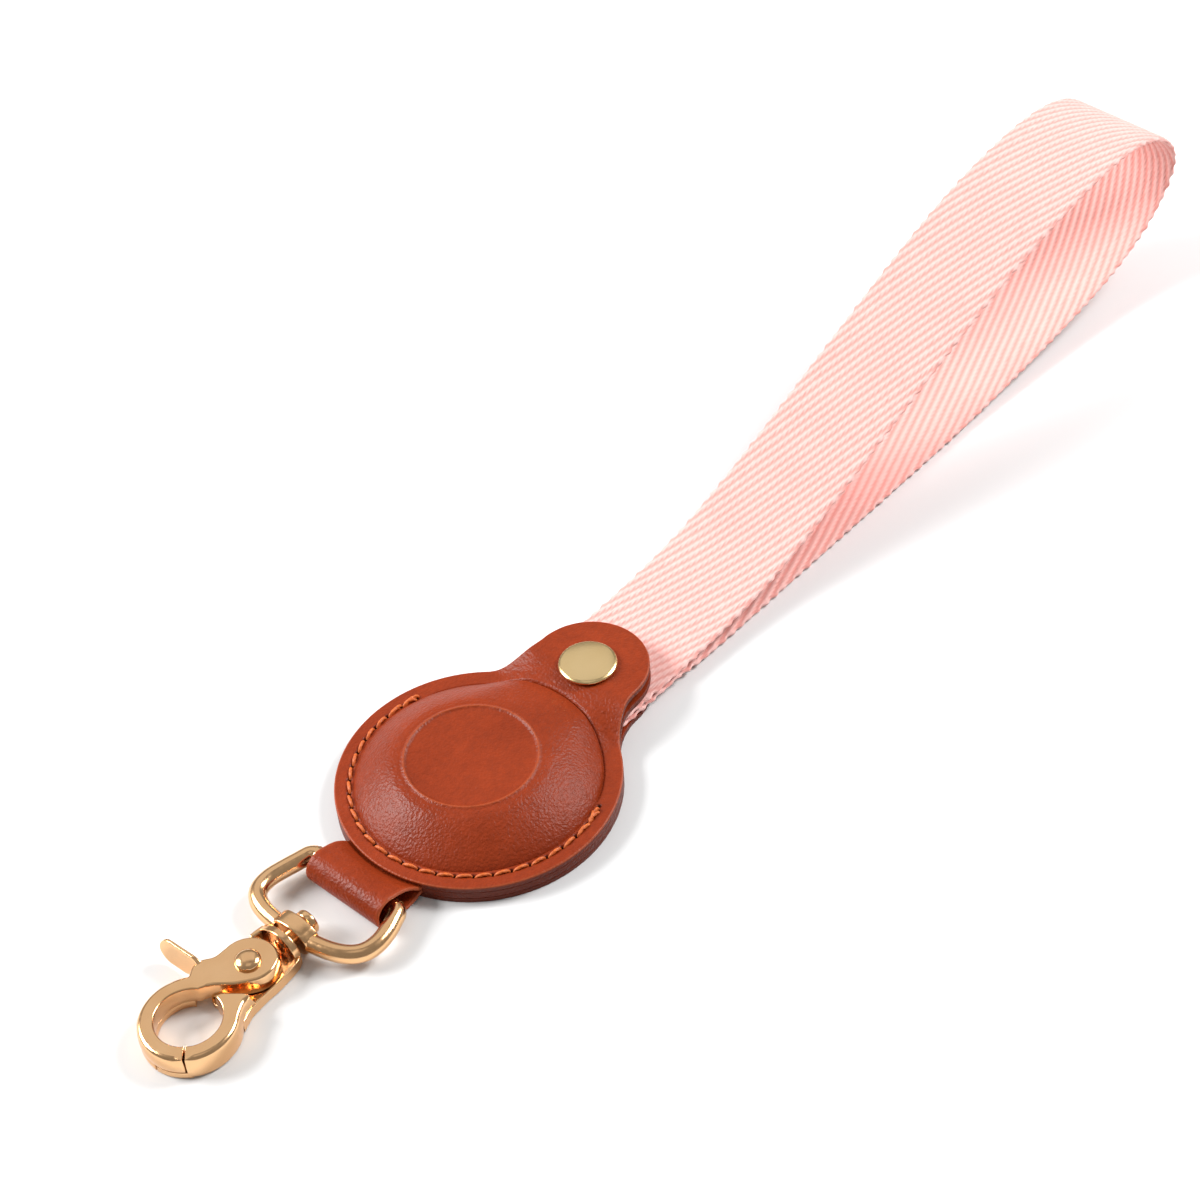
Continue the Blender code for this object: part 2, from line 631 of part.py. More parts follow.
def build_hook(gold, ring_hinge):
    swivel = make_empty("swivel_axis", (RING_BOW_X, SWIVEL_Y, RING_Z), ring_hinge)
    gap = math.radians(1.4)

    jaw = eye_sector(GATE_ANGLE + gap, math.radians(360.0), 24)
    body = finish_object("hook_body", prism(jaw, HOOK_LOW, HOOK_TOP), gold, swivel)
    lap = eye_sector(LAP_ANGLE, GATE_ANGLE + 2 * gap, 8)
    shoulder = [(-57.2, -5.7), (-55.8, -5.05), (-54.5, -4.3), (-53.6, -4.0), (-53.4, -3.1),
                (-55.65, -0.15), (-56.9, -2.0)]
    slope = [(-53.75, HOOK_LOW), (-52.5, HOOK_LOW), (-52.5, LIP_TOP), (-53.5, HOOK_TOP - 0.1),
             (-53.75, HOOK_TOP - 0.1)]
    solids = [
        ("hook_lap", prism(lap, HOOK_LOW, LAP_TOP)),
        ("hook_shoulder", prism(shoulder, HOOK_LOW, HOOK_TOP)),
        ("hook_slope", prism(slope, -4.02, -3.35, "XZ")),
        ("hook_lip", prism(lip_outline(), HOOK_LOW, LIP_TOP)),
        ("hook_plate", prism(plate_outline(), HOOK_LOW, PLATE_TOP)),
        ("hook_yoke", prism(YOKE_ARCH, *YOKE_X, "YZ")),
        ("hook_leg", prism([(-43.2, 4.4), (-43.2, 5.1), (-45.1, 5.25), (-45.2, 4.6)],
                           HOOK_LOW, 3.5)),
    ]
    combine(body, [finish_object(name, shape, gold, swivel) for name, shape in solids], "UNION")
    post_hole = finish_object("yoke_hole", rod_along_x([(-46.0, SWIVEL_SHAFT + 0.08),
                                                        (-40.0, SWIVEL_SHAFT + 0.08)]),
                              gold, swivel)
    rivet_hole = stepped_cutter("plate_hole", [(1.85, -1.0, 0.75), (RIVET_HOLE, 0.75, 3.0)],
                                PIVOT, swivel, gold)
    combine(body, [post_hole, rivet_hole], "DIFFERENCE")

    head_low, head_high = SWIVEL_HEAD_X
    finish_object("swivel_post", rod_along_x([
        (SWIVEL_END_X, SWIVEL_SHAFT), (head_low, SWIVEL_SHAFT), (head_low, SWIVEL_HEAD),
        (head_high - 0.35, SWIVEL_HEAD), (head_high, SWIVEL_HEAD - 0.5)]), gold, swivel)

    rivet = [(0.0, 0.2), (1.55, 0.2), (1.55, 0.6), (RIVET_SHAFT, 0.62), (RIVET_SHAFT, 4.82),
             (RIVET_HEAD, 4.82)]
    rivet += [(RIVET_HEAD * math.cos(angle), 5.0 + (RIVET_TOP - 5.0) * math.sin(angle))
              for angle in (math.radians(degrees) for degrees in range(0, 91, 18))]
    finish_object("pivot_rivet", turned(rivet, PIVOT, 24), gold, swivel)
    return swivel


def lip_outline():
    """The low wall along the near side, from the shoulder to the yoke."""
    return [(-57.2, -5.9), (-55.8, -5.2), (-53.7, -4.4), (-50.4, -4.15), (-47.8, -4.1),
            (-45.0, -3.75), (-42.1, -3.3), (-42.1, -2.7), (-45.2, -3.15), (-47.8, -3.72),
            (-50.4, -3.8), (-52.7, -3.85), (-55.0, -3.4)]


def plate_outline():
    """The cheek under the trigger, from the yoke to the fixed jaw."""
    points = [(-42.4, -3.2), (-42.4, 4.6)]
    points += arc(PIVOT, LEVER_DISC - 0.1, math.radians(60), math.radians(150), 8)
    points += [(-54.7, 3.7), (-56.5, 1.9), (-56.45, 0.0), (-55.2, -2.4), (-54.4, -4.2),
               (-50.4, -3.95), (-47.8, -3.9), (-45.0, -3.5)]
    return points


def build_trigger(gold, steel, swivel):
    lever_pivot = make_empty("trigger_axis", (PIVOT[0], PIVOT[1], HOOK_TOP), swivel)
    gap = math.radians(1.4)

    disc = [(-50.0, -2.85), (-48.9, -3.15), (-47.8, -3.1), (-46.75, -2.85)]
    disc += arc(PIVOT, LEVER_DISC, math.radians(-45), math.radians(95), 20)
    disc += [(-51.6, 5.7), (-53.3, 7.0), (-54.9, 7.1)]
    disc += arc(EYE_CENTRE, EYE_OUTER, math.radians(48), math.radians(100), 8)
    disc += arc(EYE_CENTRE, EYE_HOLE, math.radians(100), math.radians(32), 8)
    disc += [(-56.3, 2.7), (-55.2, 1.75), (-53.4, -0.3), (-50.85, -2.4)]
    lever = finish_object("trigger_lever", prism(disc, LEVER_LOW, HOOK_TOP), gold, lever_pivot)

    arm = eye_sector(math.radians(58), LAP_ANGLE - 2 * gap, 18)
    nose = eye_sector(math.radians(90), GATE_ANGLE - gap, 18)
    solids = [("lever_arm", prism(arm, HOOK_LOW, HOOK_TOP)),
              ("lever_nose", prism(nose, LAP_TOP + 0.3, HOOK_TOP)),
              ("lever_fin", prism(FIN_OUTLINE, *FIN_X, "YZ"))]
    combine(lever, [finish_object(name, shape, gold, lever_pivot) for name, shape in solids],
            "UNION")
    hole = stepped_cutter("lever_hole", [(RIVET_HOLE, 1.0, 6.0)], PIVOT, lever_pivot, gold)
    pocket = [(1.75, 1.0), (3.2, 1.0), (3.2, 3.35), (1.75, 3.35)]
    pocket = finish_object("spring_pocket", turned(pocket, PIVOT, 24), gold, lever_pivot)
    combine(lever, [hole, pocket], "DIFFERENCE")

    turns = 2.25
    per_turn = 20
    coil_radius = 2.45
    path = []
    for step in range(int(turns * per_turn) + 1):
        angle = 2 * math.pi * step / per_turn
        path.append((PIVOT[0] + coil_radius * math.cos(angle),
                     PIVOT[1] + coil_radius * math.sin(angle),
                     LEVER_LOW + 0.12 + 0.45 * step / per_turn))
    finish_object("trigger_spring", tube(path, 0.17, 6), steel, swivel)


def main():
    clear_scene()
    leather = make_material("leather", LEATHER_COLOUR, 0.42, 0.0)
    thread = make_material("thread", THREAD_COLOUR, 0.6, 0.0)
    webbing = make_material("webbing", WEBBING_COLOUR, 0.85, 0.0)
    gold = make_material("gold", GOLD_COLOUR, 0.18, 1.0)
    brass = make_material("brass", BRASS_COLOUR, 0.22, 1.0)
    steel = make_material("spring_steel", STEEL_COLOUR, 0.3, 1.0)

    case = bpy.data.objects.new("case_centre", None)
    bpy.context.collection.objects.link(case)
    case.location = (CASE_X * MM, 0.0, 0.0)

    build_case(leather, thread, brass, case)
    build_flap(leather, brass, case)
    build_snap_base(brass, case)
    build_tab(leather, case)
    build_strap(webbing, case)
    ring_hinge = build_d_ring(gold, case)
    swivel = build_hook(gold, ring_hinge)
    build_trigger(gold, steel, swivel)
    bpy.context.view_layer.update()


main()
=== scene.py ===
"""Looks of the wristlet keychain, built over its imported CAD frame.

Shapes are worked out in case-frame millimetres: the origin is under the case disc, +X runs from the
hook to the wrist loop and +Z is up.  place() carries them into the frame's metres.
"""
import math

import bmesh
import bpy
import numpy as np
from mathutils import Matrix, Vector
from mathutils.geometry import tessellate_polygon


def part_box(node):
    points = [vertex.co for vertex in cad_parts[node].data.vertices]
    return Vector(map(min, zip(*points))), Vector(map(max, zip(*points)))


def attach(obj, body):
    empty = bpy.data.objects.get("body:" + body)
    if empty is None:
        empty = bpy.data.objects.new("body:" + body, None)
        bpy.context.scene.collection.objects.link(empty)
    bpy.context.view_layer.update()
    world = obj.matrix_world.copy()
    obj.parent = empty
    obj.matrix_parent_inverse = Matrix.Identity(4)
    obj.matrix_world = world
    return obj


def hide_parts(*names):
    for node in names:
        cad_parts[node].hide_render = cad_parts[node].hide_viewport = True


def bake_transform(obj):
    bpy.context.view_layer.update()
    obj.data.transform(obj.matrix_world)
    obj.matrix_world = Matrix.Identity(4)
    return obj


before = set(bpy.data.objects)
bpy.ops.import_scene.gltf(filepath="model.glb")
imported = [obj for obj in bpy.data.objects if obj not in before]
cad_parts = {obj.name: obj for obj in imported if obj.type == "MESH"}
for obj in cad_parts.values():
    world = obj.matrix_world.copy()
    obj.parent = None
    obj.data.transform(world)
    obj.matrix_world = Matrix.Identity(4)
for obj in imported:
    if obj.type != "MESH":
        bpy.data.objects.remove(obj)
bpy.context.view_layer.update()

MM = 0.001
TURN = 2 * math.pi

# Case outline and layers
CASE_CENTRE_X = 0.7
CASE_RADIUS = 23.4
NECK_CENTRE_X = 27.9
NECK_RADIUS = 10.2
NECK_FILLET = 12.0
FRONT_SIDES, LAYER_SIDES = 1080, 720
FRONT_EDGE, LOWER_EDGE = 0.30, 0.09
BACK_TOP = 0.94
MIDDLE_LOW, MIDDLE_TOP = 0.98, 2.26
NECK_MIDDLE_LOW, NECK_MIDDLE_TOP = 3.28, 4.3
FRONT_THICKNESS = 1.1
FRONT_TOP = 3.4

# Domed pocket
DOME_RADIUS = 20.2
DOME_TOP_RADIUS = 11.4
DOME_TOP = 8.7
POCKET_RADIUS = 18.9
POCKET_TOP_RADIUS = 10.4
POCKET_TOP = 7.5
FLANK_POWER = 1.6
EMBOSS_RADIUS = 10.9
EMBOSS_SHIFT = (-0.7, 0.25)
EMBOSS_RIDGE, EMBOSS_WIDTH = 0.18, 0.28
EMBOSS_HIGHLIGHT = 0.45

# Flap
FLAP_START_X = 18.6
FLAP_ROOT_TOP = 5.5
FLAP_TOP = 6.95
FLAP_RISE = 7.6

# Snap
SNAP_X = 27.8
SNAP_CAP_RADIUS = 4.95
SNAP_CAP_TOP = 8.2

# How dark the leather's edge paint is and how dark the painted shade on the face inside the yoke
# is, and the colours mixed in: lighter leather for painted highlights and paler tab edges, dark
# leather for edge paint and painted shade in the needle holes, and the metal's painted shade
EDGE_SHADE = 0.55
RECESS_SHADE = 0.9
LIGHTENED_LEATHER = (0.42, 0.090, 0.032, 1.0)
EDGE_PAINT_AND_SHADE = (0.028, 0.005, 0.002, 1.0)
PAINTED_METAL_SHADE = (0.16, 0.055, 0.012, 1.0)
SHADER = "Principled BSDF"

# Stitching
SEAM_RADIUS = 20.95
SEAM_START = math.radians(73.0)
SEAM_END = math.radians(287.0)
STITCHES = 26
HOLES = np.linspace(SEAM_START, SEAM_END, STITCHES + 1)
SPARE_HOLE = SEAM_END + 0.05
HOLE_GAP = 0.017
THREAD = 0.27

# Tab
TAB_Y = (-8.3, 7.5)
TAB_PLY = 0.68
TAB_LOOP = (-28.0, 3.0)
TAB_LOOP_RADIUS = 2.95

# Webbing
WEBBING_WIDTH = 20.6
PLY = 1.0
WARP_ENDS = 54
PICK = 1.17
GROOVE = 0.24
LOOP_TWIST = 2.0
PATH_STEP = PICK / 3
LOOP_POINTS = [
    (39.2, 1.55), (45.0, 0.75), (54.0, 0.56), (76.0, 0.56), (100.0, 0.56),
    (120.0, 0.72), (138.0, 1.9), (155.0, 3.7), (168.5, 6.1), (179.2, 10.0), (186.0, 15.0),
    (189.2, 20.6), (187.4, 26.0), (182.3, 30.4), (174.5, 33.2), (165.0, 33.9), (154.5, 33.0),
    (143.5, 31.1), (133.0, 28.4), (122.0, 24.9), (111.0, 21.0), (98.5, 16.5), (86.0, 11.8),
    (74.5, 7.9), (64.0, 5.0), (54.0, 3.5), (46.0, 2.9), (39.2, 2.65),
]

# D-ring and swivel
RING_Y, RING_Z = 0.35, 2.8
RING_WIRE = 1.5
RING_BAR_X = -26.95
RING_CORNER = 1.55
RING_HALF_WIDTH = 11.3
RING_WIDEST_X = -34.2
RING_TAPER = 1.45
RING_BOW_X = -40.0
RING_BOW_POWER = 2.7
RING_SKEW = -0.075
BOSS_X = (-41.1, -38.3)
BOSS_HALF = [(4.2, 0.0), (3.55, 1.45), (2.65, 2.15), (1.4, 2.52), (0.0, 2.7)]
SWIVEL_Y = 0.5

# Hook
HOOK_LOW, HOOK_TOP = 0.15, 4.7
EYE_CENTRE = (-61.75, 0.35)
EYE_HOLE, EYE_OUTER = 5.2, 7.75
GATE_ANGLE, GATE_GAP = 223.0, 1.4
LAP_ANGLE, LAP_TOP = 186.0, 1.45
PIVOT = (-49.0, 0.95)
LEVER_DISC = 4.7
PLATE_TOP = 1.35
LEVER_LOW = 1.6
LIP_TOP = 2.25
YOKE_X = (-43.3, -42.0)
YOKE_ARCH = [(5.2, 0.15), (5.2, 1.8), (4.95, 3.4), (3.7, 4.55), (2.1, 5.25), (0.9, 5.52),
             (-0.2, 5.45), (-1.2, 5.1), (-2.1, 4.4), (-2.7, 3.4), (-2.9, 2.0), (-2.9, 0.15)]
FIN_ROUND_Y, FIN_HALF, FIN_MIDDLE = 12.6, 2.35, 2.95
RIVET_HEAD = 2.05
RIVET_TOP = 5.85

# Camera: lens (mm), azimuth, elevation and roll (degrees), and place from the case (metres)
LENS = 74.56
CAMERA_AZIMUTH = 44.809
CAMERA_ELEVATION = 44.062
CAMERA_ROLL = 5.105
CAMERA_PLACE = (-0.174964, -0.205558, 0.300933)

# Studio: name, azimuth, elevation (degrees), distance, size (metres) and power (watts)
FLOOR_REACH = 8.0
FLOOR_TONE = 0.72
WORLD = 0.30
LIGHTS = [
    ("left", 121.0, 35.0, 1.1, 0.52, 18.0),
    ("right", -26.0, 41.0, 1.1, 0.40, 12.5),
    ("back", 52.0, 50.0, 1.5, 1.3, 2.6),
    ("above", 215.0, 80.0, 1.4, 0.6, 0.4),
]

SNAP_LOW, SNAP_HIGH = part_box("snap_cap")
CASE_X = (SNAP_LOW.x + SNAP_HIGH.x) / 2 - SNAP_X * MM


def place(points):
    """Case-frame millimetres to the frame's metres."""
    moved = np.array(points, float).reshape(-1, 3) * MM
    moved[:, 0] += CASE_X
    return moved


def spot(x, y, z):
    """One case-frame point in the frame's metres."""
    return (CASE_X + x * MM, y * MM, z * MM)


def ease(value):
    value = np.clip(value, 0.0, 1.0)
    return value * value * (3 - 2 * value)


# ---------------------------------------------------------------- meshes

def grid_faces(rows, columns, wrap_rows=False, wrap_columns=False):
    index = np.arange(rows * columns).reshape(rows, columns)
    if wrap_columns:
        index = np.hstack([index, index[:, :1]])
    if wrap_rows:
        index = np.vstack([index, index[:1]])
    return np.stack([index[:-1, :-1], index[:-1, 1:], index[1:, 1:], index[1:, :-1]],
                    axis=-1).reshape(-1, 4).tolist()


def shell(rings, caps=True, wrap=False):
    """Skin equal closed rings of points; returns points and faces."""
    rings = np.array(rings, float)
    count, sides = rings.shape[:2]
    faces = grid_faces(count, sides, wrap_rows=wrap, wrap_columns=True)
    if caps and not wrap:
        faces.append(list(range(sides))[::-1])
        faces.append([(count - 1) * sides + number for number in range(sides)])
    return rings.reshape(-1, 3), faces


def add_piece(name, shells, material, body, replaced=(), sharp=38.0, tidy=True):
    """One named object made of one or more shells, riding on a body of the frame."""
    points = np.vstack([part[0] for part in shells])
    faces = []
    start = 0
    for part_points, part_faces in shells:
        faces += [[start + number for number in face] for face in part_faces]
        start += len(part_points)
    mesh = bpy.data.meshes.new(name)
    mesh.from_pydata(place(points).tolist(), [], faces)
    shape = bmesh.new()
    shape.from_mesh(mesh)
    if tidy:
        bmesh.ops.remove_doubles(shape, verts=shape.verts, dist=1e-7)
    bmesh.ops.recalc_face_normals(shape, faces=shape.faces)
    shape.to_mesh(mesh)
    shape.free()
    mesh.shade_smooth()
    mesh.set_sharp_from_angle(angle=math.radians(sharp))
    mesh.materials.append(material)
    piece = bpy.data.objects.new(name, mesh)
    bpy.context.collection.objects.link(piece)
    if body:
        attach(piece, body)
    if replaced:
        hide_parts(*replaced)
    return piece


def turned(profile, centre, count=96, axis="Z"):
    """Revolve an open (radius, height) profile, whose ends lie on the axis."""
    angles = np.linspace(0, TURN, count, endpoint=False)
    rings = []
    for radius, height in profile:
        radius = max(radius, 1e-4)
        if axis == "Z":
            ring = np.c_[centre[0] + radius * np.cos(angles), centre[1] + radius * np.sin(angles),
                         np.full(count, height)]
        else:
            ring = np.c_[np.full(count, height), centre[0] + radius * np.cos(angles),
                         centre[1] + radius * np.sin(angles)]
        rings.append(ring)
    return shell(rings)


def round_corner(before, corner, after, radius, most, steps):
    """A short curve in place of a corner, over no more than a share of either side."""
    back, ahead = before - corner, after - corner
    reach = min(radius, most * np.linalg.norm(back), most * np.linalg.norm(ahead))
    first = corner + back / np.linalg.norm(back) * reach
    last = corner + ahead / np.linalg.norm(ahead) * reach
    return [(1 - t) ** 2 * first + 2 * t * (1 - t) * corner + t * t * last
            for t in np.linspace(0, 1, steps)]


def round_profile(corners, radius, steps=5):
    """Round the inner corners of an open profile with short curves."""
    corners = [np.array(corner, float) for corner in corners]
    rounded = [corners[0]]
    for before, corner, after in zip(corners, corners[1:], corners[2:]):
        rounded += round_corner(before, corner, after, radius, 0.45, steps)
    rounded.append(corners[-1])
    return rounded


def round_outline(corners, radius, steps=6, least=14.0):
    """Round the corners of a closed outline that turn by more than a few degrees."""
    corners = [np.array(corner, float) for corner in corners]
    count = len(corners)
    rounded = []
    for index, corner in enumerate(corners):
        before, after = corners[index - 1], corners[(index + 1) % count]
        turn = math.degrees(Vector(corner - before).angle(Vector(after - corner)))
        if turn < least:
            rounded.append(corner)
        else:
            rounded += round_corner(before, corner, after, radius, 0.42, steps)
    return np.array(rounded)


def outline_normals(outline):
    """Inward mitred normals of a closed counter-clockwise outline."""
    ahead = np.roll(outline, -1, axis=0) - outline
    ahead /= np.maximum(np.linalg.norm(ahead, axis=1, keepdims=True), 1e-9)
    after = np.c_[-ahead[:, 1], ahead[:, 0]]
    before = np.roll(after, 1, axis=0)
    middle = before + after
    middle /= np.maximum(np.linalg.norm(middle, axis=1, keepdims=True), 1e-9)
    spread = np.clip((middle * after).sum(axis=1), 0.6, 1.0)
    return middle / spread[:, None]


def fitting_bevel(outline, bevel):
    """Cut a bevel down where the outline turns a tight outward corner."""
    ahead = np.roll(outline, -1, axis=0) - outline
    step = np.maximum(np.linalg.norm(ahead, axis=1), 1e-6)
    before = np.roll(ahead, 1, axis=0)
    turn = np.arctan2(before[:, 0] * ahead[:, 1] - before[:, 1] * ahead[:, 0],
                      (before * ahead).sum(axis=1))
    radius = (step + np.roll(step, 1)) / 2 / np.maximum(turn, 1e-3)
    room = np.minimum(bevel, 0.85 * radius)
    reach = np.r_[0, np.cumsum(step)]
    away = np.abs(reach[:-1, None] - reach[None, :-1])
    away = np.minimum(away, reach[-1] - away)
    return np.min(room[None, :] + 0.6 * away, axis=1).clip(0.0, bevel)


def slab(outline, low, high, top_bevel, bottom_bevel=0.25, bulge=0.0, steps=6):
    """A cast plate: a closed outline between two levels, with rounded edges and full sides."""
    outline = np.array(outline, float)
    area = np.sum(outline[:, 0] * np.roll(outline[:, 1], -1)
                  - outline[:, 1] * np.roll(outline[:, 0], -1))
    if area < 0:
        outline = outline[::-1]
    inward = outline_normals(outline)
    top_bevel = top_bevel(outline) if callable(top_bevel) else np.full(len(outline), top_bevel)
    top_bevel = fitting_bevel(outline, top_bevel)
    bottom_bevel = fitting_bevel(outline, np.full(len(outline), bottom_bevel))
    rings = []

    def ring(inset, level):
        moved = outline + inward * inset[:, None]
        rings.append(np.c_[moved, np.broadcast_to(level, len(outline))])

    ring(bottom_bevel + 0.02, low)
    for angle in np.linspace(math.pi / 2, 0, steps):
        ring(bottom_bevel * (1 - math.cos(angle)), low + bottom_bevel * (1 - math.sin(angle)))
    for share in (0.2, 0.4, 0.6, 0.8):
        start, end = low + bottom_bevel, high - top_bevel
        ring(np.full(len(outline), -bulge * math.sin(math.pi * share)),
             start + (end - start) * share)
    for angle in np.linspace(0, math.pi / 2, steps):
        ring(top_bevel * (1 - math.cos(angle)), high - top_bevel * (1 - math.sin(angle)))
    ring(top_bevel + 0.02, high)
    points, faces = shell(rings, caps=False)
    sides = len(outline)
    for start, flip in ((0, True), ((len(rings) - 1) * sides, False)):
        cap = tessellate_polygon([[Vector(point) for point in points[start:start + sides]]])
        for corners in cap:
            triangle = [start + number for number in corners]
            faces.append(triangle[::-1] if flip else triangle)
    return points, faces


def slab_across(outline, low, high, bevel):
    """The same cast plate standing up: its outline in (y, z), its thickness along X."""
    points, faces = slab(outline, low, high, bevel, bevel)
    return points[:, [2, 0, 1]], faces


def arc(centre, radius, start, end, count):
    angles = np.radians(np.linspace(start, end, count))
    return [(centre[0] + radius * math.cos(angle), centre[1] + radius * math.sin(angle))
            for angle in angles]


def smooth_path(points, steps):
    """A Catmull-Rom curve through points."""
    points = np.array(points, float)
    count = len(points)
    path = []
    for index in range(count - 1):
        p0, p1, p2, p3 = (points[max(0, min(count - 1, index + shift))] for shift in (-1, 0, 1, 2))
        for t in np.arange(steps) / steps:
            path.append(0.5 * (2 * p1 + (p2 - p0) * t + (2 * p0 - 5 * p1 + 4 * p2 - p3) * t * t
                               + (3 * p1 - p0 - 3 * p2 + p3) * t ** 3))
    path.append(points[-1])
    return np.array(path)


def even_path(points, spacing):
    """The same path with evenly spaced points, and their distances along it."""
    points = np.array(points, float)
    reach = np.r_[0, np.cumsum(np.linalg.norm(np.diff(points, axis=0), axis=1))]
    along = np.linspace(0, reach[-1], max(2, round(reach[-1] / spacing) + 1))
    return np.stack([np.interp(along, reach, points[:, axis])
                     for axis in range(points.shape[1])], axis=1), along


def tube(path, radius, sides=12, wrap=False, plies=0, twist=0.0, depth=0.0):
    """Sweep a round section along a 3-D path; a thread's plies wind round it."""
    path = np.array(path, float)
    radii = np.broadcast_to(np.array(radius, float), len(path))
    if wrap:
        along = np.roll(path, -1, axis=0) - np.roll(path, 1, axis=0)
    else:
        along = np.gradient(path, axis=0)
    along /= np.linalg.norm(along, axis=1, keepdims=True)
    side = np.cross(along[0], (0.0, 0.0, 1.0))
    if np.linalg.norm(side) < 0.1:
        side = np.cross(along[0], (0.0, 1.0, 0.0))
    angles = np.linspace(0, TURN, sides, endpoint=False)
    rings = []
    travelled = 0.0
    for index, point in enumerate(path):
        if index:
            travelled += np.linalg.norm(point - path[index - 1])
        side = side - along[index] * np.dot(side, along[index])
        side /= np.linalg.norm(side)
        up = np.cross(side, along[index])
        swell = 1 + depth * (np.abs(np.cos(plies / 2 * angles + twist * travelled)) - 0.5)
        reach = radii[index] * (swell if plies else 1.0)
        rings.append(point + np.outer(np.cos(angles) * reach, side)
                     + np.outer(np.sin(angles) * reach, up))
    return shell(rings, caps=not wrap, wrap=wrap)


# ---------------------------------------------------------------- materials

def new_material(name):
    """A material, and a function that adds a node to it."""
    material = bpy.data.materials.new(name)
    material.use_nodes = True
    tree = material.node_tree

    def node(kind, inputs=(), **settings):
        """Add a node, or find the shader by its name, and link or set its inputs."""
        made = tree.nodes.get(kind) or tree.nodes.new(kind)
        for key, value in settings.items():
            setattr(made, key, value)
        for key, value in dict(inputs).items():
            if hasattr(value, "is_output"):
                tree.links.new(value, made.inputs[key])
            else:
                made.inputs[key].default_value = value
        return made

    return material, node


def noise(node, scale, detail):
    coord = node("ShaderNodeTexCoord").outputs["Object"]
    return node("ShaderNodeTexNoise", {"Vector": coord, "Scale": scale,
                                       "Detail": detail}).outputs["Fac"]


def painted(node, name):
    """The numbers that paint() stored on the points."""
    return node("ShaderNodeAttribute", attribute_name=name).outputs["Fac"]


def mix(node, share, first, second, blend="MIX"):
    return node("ShaderNodeMixRGB", {"Fac": share, "Color1": first, "Color2": second},
                blend_type=blend).outputs["Color"]


def bump(node, height, strength, distance, under=None):
    """Raise the surface by a height texture, over another bump if one is given."""
    inputs = {"Height": height, "Strength": strength, "Distance": distance}
    if under is not None:
        inputs["Normal"] = under
    return node("ShaderNodeBump", inputs).outputs["Normal"]


def ramp(node, source, *stops):
    """Colours, or plain greys, at positions along a source."""
    made = node("ShaderNodeValToRGB", {"Fac": source})
    elements = made.color_ramp.elements
    while len(elements) < len(stops):
        elements.new(0.5)
    for element, (position, colour) in zip(elements, stops):
        element.position = position
        element.color = (*(colour if isinstance(colour, tuple) else (colour,) * 3), 1.0)
    return made.outputs["Color"]


def leather_material():
    """Smooth cognac leather with a fine pebbled grain, faint creases and darker edges; painted
    highlights, paler tab edges and painted shade in the needle holes mix into its colour.
    """
    material, node = new_material("leather")
    mottle = noise(node, 90.0, 3.0)
    tone = ramp(node, mottle, (0.3, (0.215, 0.0240, 0.0030)), (0.7, (0.260, 0.0305, 0.0042)))
    specks = ramp(node, noise(node, 900.0, 4.0), (0.35, 0.86), (0.65, 1.0))
    colour = mix(node, 1.0, tone, specks, "MULTIPLY")
    # Painted highlights on the pressed ring and the front's rounded top edge, and paler tab side
    # edges, mix in lighter leather
    colour = mix(node, painted(node, "lightened"), colour, LIGHTENED_LEATHER)
    # Edge paint, and painted shade in the needle holes, mix in dark leather
    colour = mix(node, painted(node, "dark"), colour, EDGE_PAINT_AND_SHADE)

    coord = node("ShaderNodeTexCoord").outputs["Object"]
    crease = node("ShaderNodeTexVoronoi", {"Vector": coord, "Scale": 1050.0},
                  feature="DISTANCE_TO_EDGE").outputs["Distance"]
    relief = bump(node, noise(node, 2100.0, 1.5), 0.75, 0.00020)
    relief = bump(node, ramp(node, crease, (0.0, 0.0), (0.12, 1.0)), 0.05, 0.0001, relief)
    relief = bump(node, noise(node, 260.0, 2.0), 0.06, 0.0003, relief)
    gloss = ramp(node, mottle, (0.3, 0.36), (0.7, 0.46))
    node(SHADER, {"Base Color": colour, "Roughness": gloss, "Normal": relief,
                  "Specular IOR Level": 0.21})
    return material


def thread_material():
    material, node = new_material("thread")
    fibre = noise(node, 2500.0, 3.0)
    colour = ramp(node, fibre, (0.3, (0.44, 0.075, 0.010)), (0.7, (0.62, 0.14, 0.020)))
    node(SHADER, {"Base Color": colour, "Roughness": 0.55,
                  "Normal": bump(node, fibre, 0.4, 0.00005)})
    return material


def webbing_material():
    """Blush polyester twill: pale floats, with painted shade in the grooves that darkens and
    reddens them with depth, fine yarn texture.
    """
    material, node = new_material("webbing")
    fibre = noise(node, 2200.0, 3.0)
    # Painted shade: the colour darkens and reddens with the depth of the grooves
    colour = ramp(node, painted(node, "groove"), (0.0, (0.84, 0.505, 0.465)),
                  (0.45, (0.84, 0.475, 0.430)), (1.0, (0.72, 0.285, 0.245)))
    shade = ramp(node, fibre, (0.3, (0.90, 0.88, 0.88)), (0.7, 1.0))
    patch = ramp(node, noise(node, 120.0, 2.0), (0.3, (0.97, 0.95, 0.95)), (0.7, 1.0))
    colour = mix(node, 1.0, mix(node, 1.0, colour, shade, "MULTIPLY"), patch, "MULTIPLY")
    node(SHADER, {"Base Color": colour, "Roughness": 0.82, "Sheen Weight": 0.25,
                  "Normal": bump(node, fibre, 0.35, 0.0001)})
    return material


def metal_material(name, dark, light, low, high, ripple):
    """Plated cast metal: a tone that varies a little at random, painted shade where the 'dark'
    attribute is set, soft ripples in its polish.
    """
    material, node = new_material(name)
    cloud, fine = noise(node, 160.0, 2.0), noise(node, 1400.0, 3.0)
    tone = ramp(node, cloud, (0.3, dark), (0.7, light))
    relief = bump(node, fine, ripple * 0.5, 0.00006, bump(node, cloud, ripple, 0.0004))
    # Painted shade: the base colour goes dark where the 'dark' attribute is set, on the face inside
    # the yoke
    node(SHADER, {"Base Color": mix(node, painted(node, "dark"), tone, PAINTED_METAL_SHADE),
                  "Roughness": ramp(node, fine, (0.3, low), (0.7, high)), "Normal": relief,
                  "Metallic": 1.0})
    return material


# ---------------------------------------------------------------- leather case

